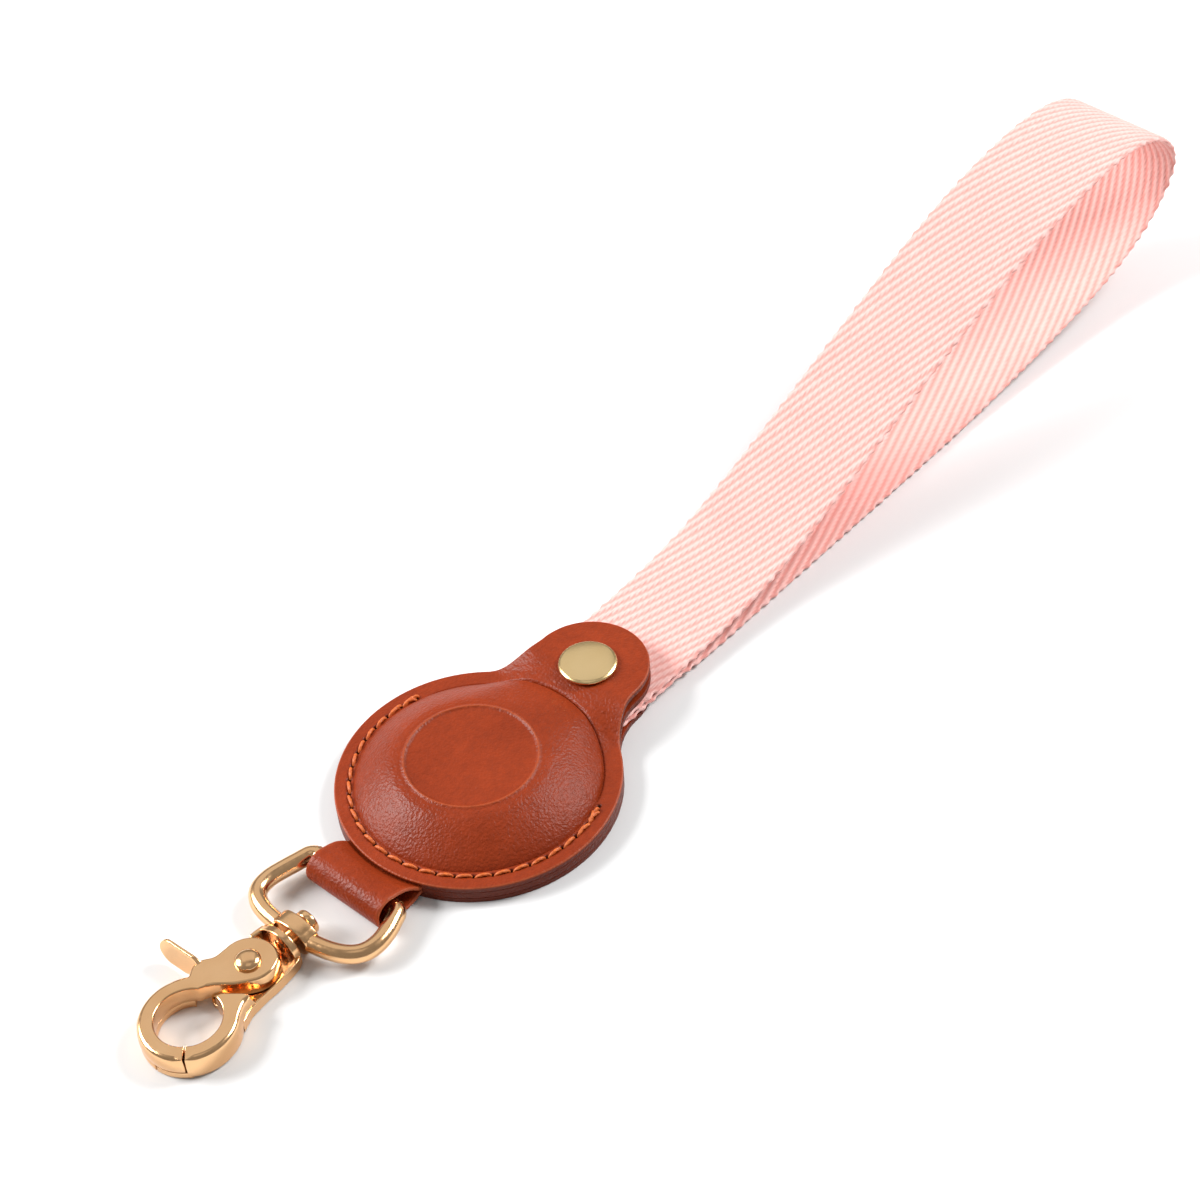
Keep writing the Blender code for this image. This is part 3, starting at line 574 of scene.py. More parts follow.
def half_width(x):
    """Half the width of the leather outline at each x, below zero outside it."""
    from_case = CASE_RADIUS + NECK_FILLET
    from_neck = NECK_RADIUS + NECK_FILLET
    span = NECK_CENTRE_X - CASE_CENTRE_X
    along = (from_case ** 2 - from_neck ** 2 + span ** 2) / (2 * span)
    fillet_x = CASE_CENTRE_X + along
    fillet_y = math.sqrt(from_case ** 2 - along ** 2)
    flare_start = CASE_CENTRE_X + along * CASE_RADIUS / from_case
    flare_end = NECK_CENTRE_X + (fillet_x - NECK_CENTRE_X) * NECK_RADIUS / from_neck
    disc = np.sqrt(np.maximum(0, CASE_RADIUS ** 2 - (x - CASE_CENTRE_X) ** 2))
    flare = fillet_y - np.sqrt(np.maximum(0, NECK_FILLET ** 2 - (x - fillet_x) ** 2))
    neck = np.sqrt(np.maximum(0, NECK_RADIUS ** 2 - (x - NECK_CENTRE_X) ** 2))
    width = np.where(x < flare_start, disc, np.where(x < flare_end, flare, neck))
    return np.where(x < NECK_CENTRE_X + NECK_RADIUS, width, -1.0)


def outline_radius(angles):
    """Distance from the case centre to the leather outline in each direction."""
    low = np.full(len(angles), CASE_RADIUS - 0.5)
    high = np.full(len(angles), NECK_CENTRE_X + NECK_RADIUS + 1.0)
    for _ in range(40):
        middle = (low + high) / 2
        x = CASE_CENTRE_X + middle * np.cos(angles)
        inside = np.abs(middle * np.sin(angles)) < half_width(x)
        low, high = np.where(inside, middle, low), np.where(inside, high, middle)
    return low


def case_outline(count):
    """The leather outline, its inward normals and its directions from the case centre."""
    angles = np.linspace(0, TURN, count, endpoint=False)
    radius = outline_radius(angles)
    outline = np.c_[CASE_CENTRE_X + radius * np.cos(angles), radius * np.sin(angles)]
    return angles, outline, outline_normals(outline)


def rim_level(x, y):
    """Top of the front leather round the dome, which lifts towards the pocket's mouth."""
    lift = (FLAP_ROOT_TOP - FRONT_TOP) * (1 - ease((np.abs(y) - 6.0) / 7.5))
    return FRONT_TOP + lift * ease((x - 3.0) / 14.0)


def front_level(x, y):
    """Top of the front leather outside the dome."""
    rim = rim_level(x, y)
    return rim + (FLAP_TOP - rim) * ease((x - FLAP_START_X) / FLAP_RISE)


def needle_pits(radius, angle, size):
    """1 at the middle of each needle hole, falling away over a given distance."""
    pits = np.zeros_like(angle)
    for hole in [*HOLES, SPARE_HOLE]:
        pits += np.exp(-((angle - hole) * SEAM_RADIUS / size) ** 2)
    return pits * np.exp(-((radius - SEAM_RADIUS) / size) ** 2)


def seam_dent(radius, angle):
    """How far the stitching pulls the leather in."""
    across = np.exp(-((radius - SEAM_RADIUS) / 0.30) ** 2)
    sewn = ease((angle - SEAM_START + 0.03) / 0.03) * ease((SEAM_END + 0.03 - angle) / 0.03)
    return across * sewn * 0.16 + needle_pits(radius, angle, 0.26) * 0.55


def front_crease(radius, angle):
    """The dent where the dome meets the unsewn leather towards the neck."""
    off = np.minimum(angle, TURN - angle)
    unsewn = 1 - ease((off - math.radians(62)) / math.radians(9))
    return 0.28 * unsewn * np.exp(-((radius - DOME_RADIUS - 0.05) / 0.22) ** 2)


def wrinkles(x, y):
    """Small folds where the leather bends up to the neck."""
    reach = np.exp(-((x - 21.3) / 2.2) ** 2) * (1 - ease((np.abs(y) - 11.0) / 3.0))
    wave = (np.sin(3.9 * x + 1.1 * np.sin(0.7 * y) + 0.5 * y)
            + 0.7 * np.sin(6.1 * x - 0.9 * y + 1.5 * np.sin(1.1 * y + 1.0))
            + 0.5 * np.sin(2.3 * y + 4.0 * x))
    return 0.018 * reach * wave


def dome_rings(base_radius, top_radius, count):
    """(radius, height share) of the dome's flank, from the rim up."""
    angles = np.linspace(0, math.pi / 2, count)
    inward = np.maximum(np.cos(angles), 0) ** FLANK_POWER
    return list(zip(top_radius + (base_radius - top_radius) * inward,
                    np.sin(angles) ** FLANK_POWER))


def emboss(radius):
    """The pocket's contents show through as a raised ring round a slightly sunk top."""
    ridge = EMBOSS_RIDGE * np.exp(-((radius - EMBOSS_RADIUS) / EMBOSS_WIDTH) ** 2)
    sunk = 0.13 * (1 - ease((radius - EMBOSS_RADIUS + 0.7) / 0.7))
    moat = 0.07 * np.exp(-((radius - EMBOSS_RADIUS - 0.6) / 0.3) ** 2)
    return ridge - sunk - moat - 0.10


def build_front(leather):
    """The front leather: dome, pressed ring, rim and flap as one skin."""
    angles, outline, inward = case_outline(FRONT_SIDES)
    cos, sin = np.cos(angles), np.sin(angles)
    rings, lightened, dark = [], [], []

    def ring(x, y, z, lightening=0.0, depth=0.0):
        rings.append(np.c_[x, y, z])
        lightened.append(np.broadcast_to(lightening, FRONT_SIDES))
        dark.append(np.broadcast_to(depth, FRONT_SIDES))

    # Top, from the middle of the dome outwards
    inner = list(np.arange(0.0, 10.2, 0.6)) + list(np.arange(10.3, 12.4, 0.08))
    flank = [(radius, share) for radius, share in dome_rings(DOME_RADIUS, DOME_TOP_RADIUS, 72)
             if radius > 12.45][::-1]
    radii, shares = np.transpose(dome_rings(DOME_RADIUS, DOME_TOP_RADIUS, 400)[::-1])
    profile = [(radius, float(np.interp(radius, radii, shares))) for radius in inner]
    for radius, share in profile + flank:
        radius = max(radius, 0.001)
        lean = 1 - float(ease((radius - 12.0) / 6.5))
        x = CASE_CENTRE_X + EMBOSS_SHIFT[0] * lean + radius * cos
        y = EMBOSS_SHIFT[1] * lean + radius * sin
        rim = rim_level(x, y)
        top = rim * (1 - share) + DOME_TOP * share + emboss(radius) * ease((share - 0.9) / 0.08)
        top = top - front_crease(radius, angles) - seam_dent(radius, angles) * (share < 0.25)
        # Painted highlight: a lighter line along the pressed ring
        ring_highlight = EMBOSS_HIGHLIGHT * math.exp(-((radius - EMBOSS_RADIUS) / 0.20) ** 2)
        ring(x, y, top, ring_highlight)

    # Rim and flap, out to the rounded edge
    border = outline + inward * FRONT_EDGE
    rim_rings = [(DOME_RADIUS + step, 0.0) for step in np.arange(0.1, 1.4, 0.1)]
    start = DOME_RADIUS + 1.4
    rim_rings += [(start, share) for share in np.linspace(0, 1, 40)]
    for radius, share in rim_rings:
        x = (CASE_CENTRE_X + radius * cos) * (1 - share) + border[:, 0] * share
        y = radius * sin * (1 - share) + border[:, 1] * share
        away = np.hypot(x - CASE_CENTRE_X, y)
        top = front_level(x, y) + wrinkles(x, y)
        top = top - front_crease(away, angles) - seam_dent(away, angles)
        # Painted shade darkens the needle holes
        ring(x, y, top, 0.0, np.minimum(needle_pits(away, angles, 0.34) * 1.3, 0.9))

    def edge_ring(inset, drop, lightening, depth=0.0):
        moved = outline + inward * inset
        ring(moved[:, 0], moved[:, 1],
             front_level(outline[:, 0], outline[:, 1]) - drop, lightening, depth)

    # Painted highlight along the rounded top edge, strongest half way round; the side below is
    # darker edge paint
    for angle in np.linspace(15, 90, 6):
        turn = math.radians(angle)
        edge_ring(FRONT_EDGE * (1 - math.sin(turn)), FRONT_EDGE * (1 - math.cos(turn)) * 0.9,
                  0.15 + 0.55 * math.exp(-((angle - 50) / 22) ** 2), 0.35 * (angle > 85))
    edge_ring(0.0, 0.55, 0.0, EDGE_SHADE)
    for angle in np.linspace(0, 90, 5):
        turn = math.radians(angle)
        edge_ring(LOWER_EDGE * (1 - math.cos(turn)),
                  FRONT_THICKNESS - LOWER_EDGE * (1 - math.sin(turn)), 0.0, EDGE_SHADE)

    # Underside, back in to the pocket
    for share in np.linspace(0.05, 1, 12):
        x = border[:, 0] * (1 - share) + (CASE_CENTRE_X + (DOME_RADIUS - 0.6) * cos) * share
        y = border[:, 1] * (1 - share) + (DOME_RADIUS - 0.6) * sin * share
        ring(x, y, front_level(x, y) - FRONT_THICKNESS)
    pocket = dome_rings(POCKET_RADIUS, POCKET_TOP_RADIUS, 16)
    for radius, share in pocket + [(6.0, 1.0), (0.001, 1.0)]:
        x, y = CASE_CENTRE_X + radius * cos, radius * sin
        low = (rim_level(x, y) - FRONT_THICKNESS) * (1 - share) + POCKET_TOP * share
        ring(x, y, low)

    piece = add_piece("front_leather", [shell(rings, caps=False)], leather, None,
                      ("front_panel", "front_flap"), sharp=60.0, tidy=False)
    paint(piece, "lightened", np.concatenate(lightened))
    paint(piece, "dark", np.concatenate(dark))
    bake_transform(piece)
    return piece


def paint(piece, name, values):
    """Store one number a point for the material to read."""
    attribute = piece.data.attributes.new(name, "FLOAT", "POINT")
    attribute.data.foreach_set("value", np.asarray(values, np.float32))


def coat(name, material):
    """Give a kept CAD part its material."""
    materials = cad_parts[name].data.materials
    materials.clear()
    materials.append(material)


def build_layer(name, leather, node, low, high, edge, dent=None):
    """A flat layer of the case with painted, rounded edges."""
    angles, outline, inward = case_outline(LAYER_SIDES)
    rings, dark = [], []

    def ring(points, level, bottom, side=False):
        level = level(points[:, 0], points[:, 1])
        if dent is not None and bottom:
            away = np.hypot(points[:, 0] - CASE_CENTRE_X, points[:, 1])
            level = level + dent(away, angles)
        rings.append(np.c_[points, level])
        dark.append(np.full(LAYER_SIDES, EDGE_SHADE if side else 0.0))

    centre = np.array([CASE_CENTRE_X, 0.0])
    border = outline + inward * edge
    shares = list(np.linspace(0.001, 0.84, 18)) + list(np.linspace(0.855, 0.985, 16)) + [1.0]
    for share in shares:
        ring(centre + (border - centre) * share, low, True)
    for angle in np.linspace(0, 90, 5)[1:]:
        turn = math.radians(angle)
        moved = outline + inward * edge * (1 - math.sin(turn))
        ring(moved, lambda x, y: low(x, y) + edge * (1 - math.cos(turn)), False, angle > 30)
    for angle in np.linspace(90, 0, 5):
        turn = math.radians(angle)
        moved = outline + inward * edge * (1 - math.sin(turn))
        ring(moved, lambda x, y: high(x, y) - edge * (1 - math.cos(turn)), False, angle > 30)
    for share in shares[::-1][1:]:
        ring(centre + (border - centre) * share, high, False)
    piece = add_piece(name, [shell(rings)], leather, "case", (node,), sharp=60.0,
                      tidy=False)
    paint(piece, "dark", np.concatenate(dark))
    return piece


def middle_step(x):
    return ease((x - 20.0) / 4.2)


def build_layers(leather):
    build_layer("middle_leather", leather, "middle_panel",
                lambda x, y: MIDDLE_LOW + (NECK_MIDDLE_LOW - MIDDLE_LOW) * middle_step(x),
                lambda x, y: MIDDLE_TOP + (NECK_MIDDLE_TOP - MIDDLE_TOP) * middle_step(x),
                LOWER_EDGE)
    back = build_layer("back_leather", leather, "back_panel", lambda x, y: 0.0 * x,
                       lambda x, y: BACK_TOP + 0.0 * x, 0.12, dent=seam_dent)
    cutter = add_piece("recess_cutter", [turned([(0, -1), (4.2, -1), (4.2, 0.42), (0, 0.42)],
                                                (SNAP_X, 0.0))], leather, None)
    modifier = back.modifiers.new("recess", "BOOLEAN")
    modifier.operation = "DIFFERENCE"
    modifier.object = cutter
    bpy.context.view_layer.update()
    solved = bpy.data.meshes.new_from_object(back.evaluated_get(
        bpy.context.evaluated_depsgraph_get()))
    back.modifiers.clear()
    back.data = solved
    bpy.data.objects.remove(cutter)


def build_tab(leather):
    """The folded strip round the D-ring's bar."""
    reach = TAB_LOOP_RADIUS - TAB_PLY / 2
    top = [(-17.0, 2.0), (-21.0, 1.95), (-22.9, 2.2), (-24.0, 3.3), (-25.4, 4.65)]
    fold = arc(TAB_LOOP, reach, 74, 262, 40)
    bottom = [(-26.2, 0.5), (-24.4, 0.75), (-22.9, 1.3), (-21.0, 1.4), (-17.0, 1.4)]
    path = smooth_path(top + fold[::4] + bottom, 8)
    path = even_path(path, 0.16)[0]
    tangent = np.gradient(path, axis=0)
    tangent /= np.linalg.norm(tangent, axis=1, keepdims=True)
    normal = np.c_[tangent[:, 1], -tangent[:, 0]]
    half_y = (TAB_Y[1] - TAB_Y[0]) / 2
    centre_y = (TAB_Y[1] + TAB_Y[0]) / 2
    half = TAB_PLY / 2
    corner = 0.26
    section = [(half_y - corner + corner * math.cos(angle), half - corner
                + corner * math.sin(angle)) for angle in np.radians(np.linspace(0, 90, 6))]
    section += [(y, half) for y in np.linspace(half_y - corner, -half_y + corner, 26)[1:-1]]
    section += [(-y, z) for y, z in section[:6]][::-1]
    section += [(y, -z) for y, z in section[::-1]]
    section = np.array(section)
    rings = []
    across = centre_y + section[:, 0]
    rim = CASE_RADIUS - np.sqrt(CASE_RADIUS ** 2 - across ** 2)
    for (x, z), (out_x, out_z) in zip(path, normal):
        follow = rim * float(ease((x - TAB_LOOP[0]) / 4.5))
        rings.append(np.c_[x + follow - out_x * section[:, 1], across, z - out_z * section[:, 1]])
    # The tab is lighter along its two side edges
    lightening = np.tile(np.exp(-((np.abs(section[:, 0]) - half_y) / 0.22) ** 2) * 0.7, len(path))
    piece = add_piece("tab_leather", [shell(rings)], leather, "case",
                      ("d_ring_tab",), sharp=50.0, tidy=False)
    paint(piece, "lightened", lightening)


# ---------------------------------------------------------------- stitching

def stitch(start, end, level, rise, sink, radius, up=1.0):
    """One stitch between two needle holes, on an arc about the case centre."""
    steps = np.linspace(0, 1, 15)
    path = []
    for t in steps:
        angle = start[0] + (end[0] - start[0]) * t
        away = start[1] + (end[1] - start[1]) * t
        lift = rise * math.sin(math.pi * t) ** 0.45 - sink * (1 - math.sin(math.pi * t) ** 0.35)
        path.append((CASE_CENTRE_X + away * math.cos(angle), away * math.sin(angle),
                     level + up * lift))
    return tube(path, radius * (0.82 + 0.18 * np.sin(math.pi * steps)), 12, plies=3,
                twist=3.4, depth=0.22)


def build_stitches(thread):
    top, bottom = [], []
    for first, last in zip(HOLES, HOLES[1:]):
        first, last = first + HOLE_GAP, last - HOLE_GAP
        top.append(stitch((first, SEAM_RADIUS + 0.14), (last, SEAM_RADIUS - 0.14),
                          FRONT_TOP - 0.08, 0.26, 0.30, THREAD))
        bottom.append(stitch((first, SEAM_RADIUS - 0.05), (last, SEAM_RADIUS + 0.05),
                             0.42, 0.16, 0.2, THREAD * 0.72, up=-1.0))
    pitch = HOLES[1] - HOLES[0]
    for hole, way in ((HOLES[0], 1), (HOLES[-1], -1)):
        for shift, span, side, lift in ((0.02, 0.74, 0.44, 0.26), (0.06, 0.66, -0.40, 0.32),
                                        (0.95, 0.75, 0.28, 0.20), (-0.16, 0.42, 0.10, 0.42)):
            start = hole + way * shift * pitch
            top.append(stitch((start, SEAM_RADIUS + side),
                              (start + way * span * pitch, SEAM_RADIUS - side * 0.5),
                              FRONT_TOP, lift, 0.3, THREAD * 1.02))
    add_piece("stitches_top", top, thread, "case", ("seam_thread_top",))
    add_piece("stitches_bottom", bottom, thread, "case", ("seam_thread_bottom",))


# ---------------------------------------------------------------- webbing

def strap_path():
    """The webbing's centre line as (x, z): up one side of the neck, round the loop and back."""
    inside = [(22.6, 1.55), (30.0, 1.55), (37.0, 1.55)]
    outside = [(37.0, 2.65), (30.0, 2.65), (22.6, 2.65)]
    return even_path(smooth_path(inside + LOOP_POINTS + outside, 12), PATH_STEP)


def build_webbing(webbing):
    path, along = strap_path()
    tangent = np.gradient(path, axis=0)
    tangent /= np.linalg.norm(tangent, axis=1, keepdims=True)
    normal = np.c_[-tangent[:, 1], tangent[:, 0]]
    length = along[-1]
    half = WEBBING_WIDTH / 2
    per_end = 4
    across = np.linspace(-half, half, WARP_ENDS * per_end + 1)
    end_width = WEBBING_WIDTH / WARP_ENDS
    warp_index = np.clip(np.floor((across + half) / end_width), 0, WARP_ENDS - 1)
    warp_middle = (warp_index + 0.5) * end_width - half
    roundness = np.sqrt(np.maximum(0, 1 - ((across - warp_middle) / (end_width * 0.56)) ** 2))

    u, y = np.meshgrid(along, warp_middle, indexing="ij")
    crown = np.broadcast_to(roundness, u.shape)
    phase = TURN * (u / (4 * PICK) - y / (4 * end_width))
    wander = 0.10 * np.sin(u * 0.31 + y * 0.8) + 0.08 * np.sin(u * 0.12 - y * 0.37 + 2.0)
    rib = np.cos(phase + wander)

    def surface(sign):
        """0 in the grooves to 1 on the floats, of one face."""
        float_up = 0.5 + 0.5 * np.tanh(1.9 * sign * rib)
        return float_up * (0.72 + 0.28 * crown) + (1 - float_up) * 0.12 * crown

    edge = np.clip((half - np.abs(across)) / 0.9, 0, 1)
    selvedge = np.sqrt(1 - (1 - edge) ** 2) * 0.75 + 0.25
    scallop = 0.16 * np.cos(TURN * along / (2 * PICK)) + 0.07 * np.sin(along * 2.1)
    share = across / half
    shift = scallop[:, None] * (np.abs(share) ** 24 * np.sign(share))[None, :]
    twist = LOOP_TWIST * np.exp(-((along - 0.62 * length) / 38.0) ** 2)
    lean = twist[:, None] * (across / WEBBING_WIDTH)[None, :]
    points, grooves = [], []
    for sign in (1.0, -1.0):
        height = surface(sign)
        depth = (PLY / 2 - GROOVE * (1 - height)) * selvedge[None, :]
        layer = np.empty(height.shape + (3,))
        layer[..., 0] = path[:, 0, None] + sign * normal[:, 0, None] * depth
        layer[..., 2] = path[:, 1, None] + sign * normal[:, 1, None] * depth
        layer[..., 1] = across[None, :] + shift
        layer[..., 0] += -normal[:, 0, None] * lean
        layer[..., 2] += -normal[:, 1, None] * lean
        points.append(layer)
        grooves.append(1 - height)
    loop = np.concatenate([points[0], points[1][:, ::-1]], axis=1)
    groove = np.concatenate([grooves[0], grooves[1][:, ::-1]], axis=1)
    piece = add_piece("webbing_loop", [shell(loop)], webbing, None,
                      ("strap_loop", "strap_end_upper", "strap_end_lower"), sharp=180.0,
                      tidy=False)
    paint(piece, "groove", groove.reshape(-1))
    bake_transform(piece)
    return piece


# ---------------------------------------------------------------- hardware

def ring_path():
    """The D-ring's centre line, round from one end of its boss to the other."""
    corner_x = RING_BAR_X - RING_CORNER
    corner_y = RING_HALF_WIDTH - RING_TAPER - RING_CORNER
    reach = RING_WIDEST_X - RING_BOW_X
    power = 2 / RING_BOW_POWER
    half = [(corner_x + RING_CORNER * math.cos(angle), corner_y + RING_CORNER * math.sin(angle))
            for angle in np.radians(np.arange(0, 75, 9))]
    half += [(x, RING_HALF_WIDTH - RING_TAPER * ((x - RING_WIDEST_X) / (corner_x - RING_WIDEST_X))
              ** 1.5) for x in (-29.6, -30.4, -31.2, -32.0, -32.8, -33.5)]
    half += [(RING_WIDEST_X - reach * math.cos(angle) ** power,
              RING_HALF_WIDTH * math.sin(angle) ** power)
             for angle in np.radians(np.arange(90, 19, -5))]
    half.append((RING_BOW_X, 3.2))
    points = [(x, -y) for x, y in reversed(half)] + [(RING_BAR_X, 0.0)] + half
    return [(x + RING_SKEW * y * float(ease((RING_BAR_X - x) / 5.0)), y + RING_Y, RING_Z)
            for x, y in points]


def boss_outline():
    """Section of the boss across the swivel axis: a crowned barrel with chamfered shoulders."""
    upper = BOSS_HALF + [(-y, z) for y, z in reversed(BOSS_HALF[:-1])]
    whole = upper + [(y, -z) for y, z in reversed(upper[1:-1])]
    return [(SWIVEL_Y + y, RING_Z + z) for y, z in whole]


def build_ring(gold):
    path = even_path(smooth_path(ring_path(), 4), 0.3)[0]
    wire = tube(path, RING_WIRE, 40)
    boss = slab_across(round_outline(boss_outline(), 0.22, steps=4), *BOSS_X, 0.28)
    add_piece("ring_gold", [wire, boss], gold, "ring", ("d_ring",), sharp=50.0)

    post = [(0.0, -43.62), (0.9, -43.6), (1.2, -43.4), (1.2, -38.1), (2.0, -38.05), (2.12, -37.9),
            (2.12, -37.05)]
    post += [(1.72 + 0.4 * math.cos(angle), -37.05 + 0.4 * math.sin(angle))
             for angle in np.radians([20, 40, 60, 80])] + [(0.0, -36.6)]
    add_piece("swivel_gold", [turned(post, (SWIVEL_Y, RING_Z), 64, "X")], gold, "hook",
              ("swivel_post",), sharp=50.0)


def eye_arc(radius, start, end, count=64):
    return arc(EYE_CENTRE, radius, start, end, count)


def cast_bevel(points):
    """Edge rounding of the cast hook: wide round the eye, fine inside it and by the trigger."""
    away = np.hypot(points[:, 0] - EYE_CENTRE[0], points[:, 1] - EYE_CENTRE[1])
    trigger_side = (points[:, 0] > -56.6) & (points[:, 1] > -3.2)
    return np.where((away < 6.2) | trigger_side, 0.25, 0.88)


def build_hook(gold):
    """The fixed casting: jaw, ramp to the lip, lip, cheek, ledge under the gate and yoke, with
    painted shade on the yoke's inner face.
    """
    outline = eye_arc(EYE_OUTER, GATE_ANGLE + GATE_GAP, 306)
    outline += [(-56.5, -5.35), (-55.8, -4.95), (-54.6, -4.3), (-53.5, -4.05), (-53.15, -3.8),
                (-53.3, -3.1), (-55.6, -0.2)]
    outline += eye_arc(EYE_HOLE, 357, GATE_ANGLE + GATE_GAP)
    body = slab(round_outline(outline, 0.4), HOOK_LOW, HOOK_TOP, cast_bevel, 0.45, bulge=0.10)

    slope = [(-54.0, HOOK_LOW), (-52.45, HOOK_LOW), (-52.45, LIP_TOP - 0.1), (-52.6, LIP_TOP + 0.1),
             (-53.45, HOOK_TOP - 0.35), (-54.0, HOOK_TOP - 0.3)]
    points, faces = slab(slope, -4.12, -3.3, 0.15, 0.15)
    wedge = (np.c_[points[:, 0], -points[:, 2] - 7.42, points[:, 1]], faces)

    outer = smooth_path([(-56.4, -5.4), (-55.6, -5.05), (-54.6, -4.65), (-53.4, -4.3),
                         (-50.4, -4.05), (-47.8, -4.0), (-45.0, -3.72), (-43.2, -3.42),
                         (-42.3, -2.95)], 5)
    inner = smooth_path([(-42.7, -2.5), (-45.2, -3.1), (-47.8, -3.62), (-50.4, -3.72),
                         (-52.9, -3.75), (-54.2, -3.6)], 5)
    lip = slab(np.vstack([outer, inner]), HOOK_LOW, LIP_TOP, 0.12, 0.15)

    plate = [(-42.5, -3.1), (-42.5, 4.6)] + arc(PIVOT, LEVER_DISC - 0.1, 60, 150, 16)
    plate += [(-54.7, 3.7), (-56.3, 1.9), (-56.3, 0.0), (-55.2, -2.4), (-54.4, -4.1),
              (-50.4, -3.75), (-47.8, -3.7), (-45.0, -3.25)]
    cheek = slab(round_outline(plate, 0.6), HOOK_LOW + 0.02, PLATE_TOP, 0.1, 0.3)
    lap = eye_arc(EYE_OUTER - 0.02, LAP_ANGLE, GATE_ANGLE + 6)
    lap += eye_arc(EYE_HOLE + 0.02, GATE_ANGLE + 6, LAP_ANGLE)
    ledge = slab(round_outline(lap, 0.4), HOOK_LOW + 0.01, LAP_TOP, 0.15, 0.25)

    arch = slab_across(smooth_path(YOKE_ARCH, 6), *YOKE_X, 0.24)
    leg = [(-42.4, 4.2), (-42.3, 5.12), (-43.6, 5.3), (-45.1, 5.35), (-45.25, 4.6), (-43.4, 4.3)]
    leg = slab(round_outline(leg, 0.3), HOOK_LOW, 3.6, 0.3, 0.3)
    piece = add_piece("hook_gold", [body, wedge, lip, cheek, ledge, arch, leg], gold, "hook",
                      ("hook_body",), sharp=50.0)
    # Painted shade on the yoke's face towards the lever
    facing = spot(YOKE_X[0], 0, 0)[0]
    paint(piece, "dark", [RECESS_SHADE * (abs(vertex.co.x - facing) < 0.02 * MM)
                          for vertex in piece.data.vertices])


def build_lever(gold, steel):
    """The trigger's disc and jaw, its lower arm, its thumb piece, its rivet and its spring."""
    near = smooth_path([(-56.3, 2.6), (-55.2, 1.75), (-53.4, -0.32), (-52.1, -1.45),
                        (-50.85, -2.4), (-49.9, -2.9), (-48.9, -3.15), (-47.8, -3.15),
                        (-46.75, -2.85)], 5)
    disc = near.tolist() + arc(PIVOT, LEVER_DISC, -45, 95, 50)
    disc += [(-51.6, 5.7), (-53.3, 7.0), (-54.9, 7.1)]
    disc += eye_arc(EYE_OUTER, 48, GATE_ANGLE - GATE_GAP, 90)
    disc += eye_arc(EYE_HOLE, GATE_ANGLE - GATE_GAP, 32, 90)
    upper = slab(round_outline(disc, 0.7), LEVER_LOW, HOOK_TOP, lever_bevel, 0.12, bulge=0.10)
    arm = eye_arc(EYE_OUTER - 0.01, 42, LAP_ANGLE - 2 * GATE_GAP)
    arm += eye_arc(EYE_HOLE + 0.01, LAP_ANGLE - 2 * GATE_GAP, 42)
    lower = slab(round_outline(arm, 0.3), HOOK_LOW, LEVER_LOW + 0.05, 0.03, 0.3, bulge=0.06)
    add_piece("lever_gold", [upper, lower, fin()], gold, "trigger", ("trigger_lever",),
              sharp=50.0)

    head = [(0.0, 0.2), (1.55, 0.2), (1.55, 0.6), (1.0, 0.62), (1.0, 4.6), (RIVET_HEAD, 4.6),
            (RIVET_HEAD, 4.95)]
    head += [(RIVET_HEAD * math.cos(angle), 4.95 + (RIVET_TOP - 4.95) * math.sin(angle))
             for angle in np.radians(np.arange(8, 90, 8))] + [(0.0, RIVET_TOP)]
    add_piece("rivet_gold", [turned(head, PIVOT, 64)], gold, "hook", ("pivot_rivet",),
              sharp=50.0)
    coat("trigger_spring", steel)


def lever_bevel(points):
    """Edge rounding of the lever: wide round the eye, softer on the disc."""
    away = np.hypot(points[:, 0] - EYE_CENTRE[0], points[:, 1] - EYE_CENTRE[1])
    outer = 0.85 - 0.40 * ease((points[:, 0] + 59.5) / 4.5)
    return np.where(away < 5.9, 0.28, outer)


def fin():
    """The upright thumb piece, a round-ended paddle on a short neck."""
    sections = []
    angles = np.linspace(0, TURN, 48, endpoint=False)
    shape = [(np.sign(math.cos(a)) * abs(math.cos(a)) ** 0.5,
              np.sign(math.sin(a)) * abs(math.sin(a)) ** 0.22) for a in angles]
    stations = list(np.linspace(5.0, FIN_ROUND_Y, 34))
    stations += [FIN_ROUND_Y + FIN_HALF * math.sin(angle)
                 for angle in np.radians(np.linspace(4, 89.5, 26))]
    for y in stations:
        low = np.interp(y, [5.0, 6.4, 7.2, 8.2, 9.6], [1.8, 1.75, 1.55, 1.0, FIN_MIDDLE - FIN_HALF])
        high = np.interp(y, [5.0, 6.3, 6.9, 7.7], [4.6, 4.65, 5.0, FIN_MIDDLE + FIN_HALF])
        round_off = math.sqrt(max(1e-4, 1 - (max(0.0, y - FIN_ROUND_Y) / FIN_HALF) ** 2))
        middle, half = (low + high) / 2, (high - low) / 2 * round_off
        thick = 0.36 * min(1.0, 6 * round_off) + 0.4 * (1 - ease((y - 5.0) / 2.4))
        sections.append([(-54.27 - 0.05 * (y - 9.7) + thick * across
                          + 0.138 * (middle + half * up - FIN_MIDDLE), y, middle + half * up)
                         for across, up in shape])
    return shell(sections)


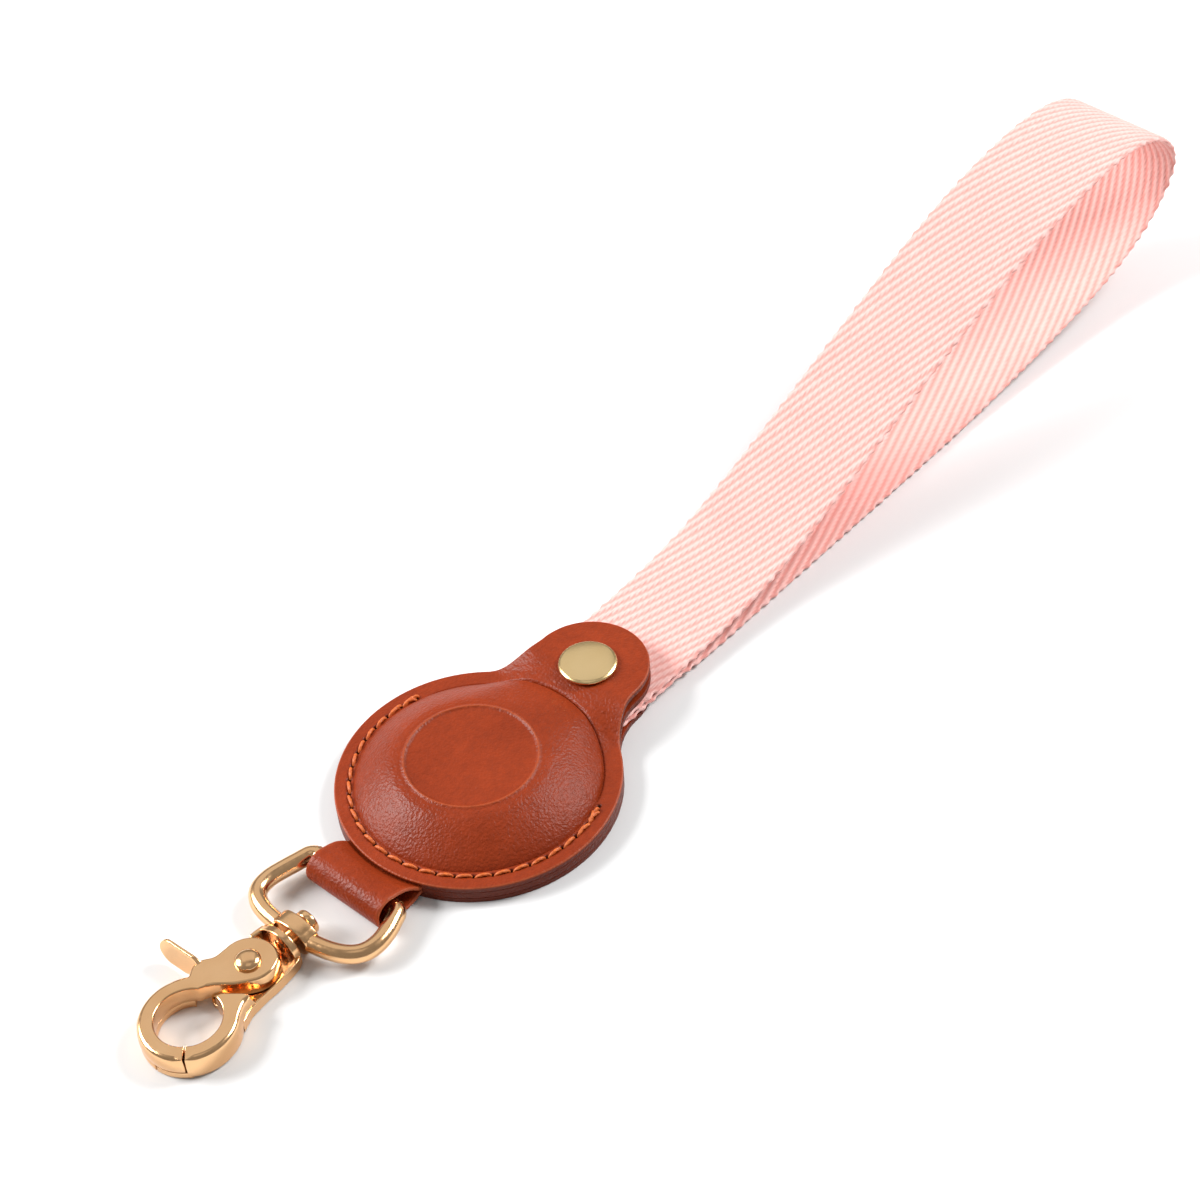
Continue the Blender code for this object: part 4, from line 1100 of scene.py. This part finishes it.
def build_snap(brass):
    low = FLAP_TOP + 0.06
    cap = [(0.0, FLAP_TOP - 1.0), (1.4, FLAP_TOP - 1.0), (1.4, low), (SNAP_CAP_RADIUS - 0.45, low)]
    cap += [(SNAP_CAP_RADIUS - 0.30 + 0.30 * math.cos(angle), low + 0.32 + 0.32 * math.sin(angle))
            for angle in np.radians(np.linspace(-80, 75, 12))]
    cap += [(radius, SNAP_CAP_TOP - 0.50 * (radius / 4.75) ** 2.2)
            for radius in np.linspace(4.6, 0.0, 22)]
    add_piece("cap_brass", [turned(cap, (SNAP_X, 0.0), 128)], brass, "flap",
              ("snap_cap",), sharp=60.0)
    post = [(0.0, 0.05), (3.4, 0.05)] + [(3.95, 0.14), (4.0, 0.24), (3.9, 0.34), (1.05, 0.36),
                                         (1.05, 5.2), (0.0, 5.2)]
    add_piece("post_brass", [turned(round_profile(post, 0.25), (SNAP_X, 0.0), 96)], brass, "case",
              ("snap_post",), sharp=60.0)
    coat("snap_stud", brass)
    coat("snap_socket", brass)


# ---------------------------------------------------------------- camera, light and floor

def build_camera():
    data = bpy.data.cameras.new("camera")
    data.lens = LENS
    data.sensor_width = 36.0
    data.clip_start = 0.01
    data.clip_end = 30.0
    camera = bpy.data.objects.new("camera", data)
    bpy.context.collection.objects.link(camera)
    turn = Matrix.Rotation(math.radians(CAMERA_AZIMUTH - 90.0), 4, "Z")
    tilt = Matrix.Rotation(math.radians(90.0 - CAMERA_ELEVATION), 4, "X")
    roll = Matrix.Rotation(math.radians(-CAMERA_ROLL), 4, "Z")
    place_at = Matrix.Translation((CASE_X + CAMERA_PLACE[0], *CAMERA_PLACE[1:]))
    camera.matrix_world = place_at @ turn @ tilt @ roll
    bpy.context.scene.camera = camera


def area_light(name, azimuth, elevation, distance, size, power):
    """A soft square light, aimed at the case."""
    data = bpy.data.lights.new(name, "AREA")
    data.shape = "RECTANGLE"
    data.size = data.size_y = size
    data.energy = power
    light = bpy.data.objects.new(name, data)
    bpy.context.collection.objects.link(light)
    turn, tilt = math.radians(azimuth), math.radians(elevation)
    target = Vector((CASE_X, 0, 0))
    light.location = Vector((CASE_X + distance * math.cos(tilt) * math.cos(turn),
                             distance * math.cos(tilt) * math.sin(turn),
                             distance * math.sin(tilt)))
    light.rotation_euler = (target - light.location).to_track_quat("-Z", "Y").to_euler()


def build_studio():
    """The pale floor, the even surroundings and the lights."""
    mesh = bpy.data.meshes.new("floor")
    corners = [(-1, -1), (1, -1), (1, 1), (-1, 1)]
    mesh.from_pydata([(x * FLOOR_REACH, y * FLOOR_REACH, 0) for x, y in corners], [],
                     [(0, 1, 2, 3)])
    floor = bpy.data.objects.new("floor", mesh)
    bpy.context.collection.objects.link(floor)
    material, node = new_material("floor")
    node(SHADER, {"Base Color": (FLOOR_TONE, FLOOR_TONE, FLOOR_TONE, 1.0), "Roughness": 0.7,
                  "Specular IOR Level": 0.2})
    mesh.materials.append(material)

    world = bpy.data.worlds.new("studio")
    world.use_nodes = True
    sky = world.node_tree.nodes["Background"]
    sky.inputs["Color"].default_value = (1.0, 1.0, 1.0, 1.0)
    sky.inputs["Strength"].default_value = WORLD
    bpy.context.scene.world = world
    for light in LIGHTS:
        area_light(*light)
    view = bpy.context.scene.view_settings
    view.view_transform = "Standard"
    view.look = "None"
    view.exposure = 0.0


def main():
    leather = leather_material()
    thread = thread_material()
    webbing = webbing_material()
    gold = metal_material("gold", (0.83, 0.485, 0.235), (0.88, 0.54, 0.28), 0.15, 0.24, 0.10)
    brass = metal_material("snap_brass", (0.80, 0.57, 0.27), (0.84, 0.61, 0.31), 0.22, 0.25, 0.004)
    steel = metal_material("spring_steel", (0.55, 0.55, 0.56), (0.65, 0.65, 0.66), 0.2, 0.3, 0.05)

    build_camera()
    build_studio()
    build_front(leather)
    build_layers(leather)
    build_tab(leather)
    build_stitches(thread)
    build_webbing(webbing)
    build_ring(gold)
    build_hook(gold)
    build_lever(gold, steel)
    build_snap(brass)


main()
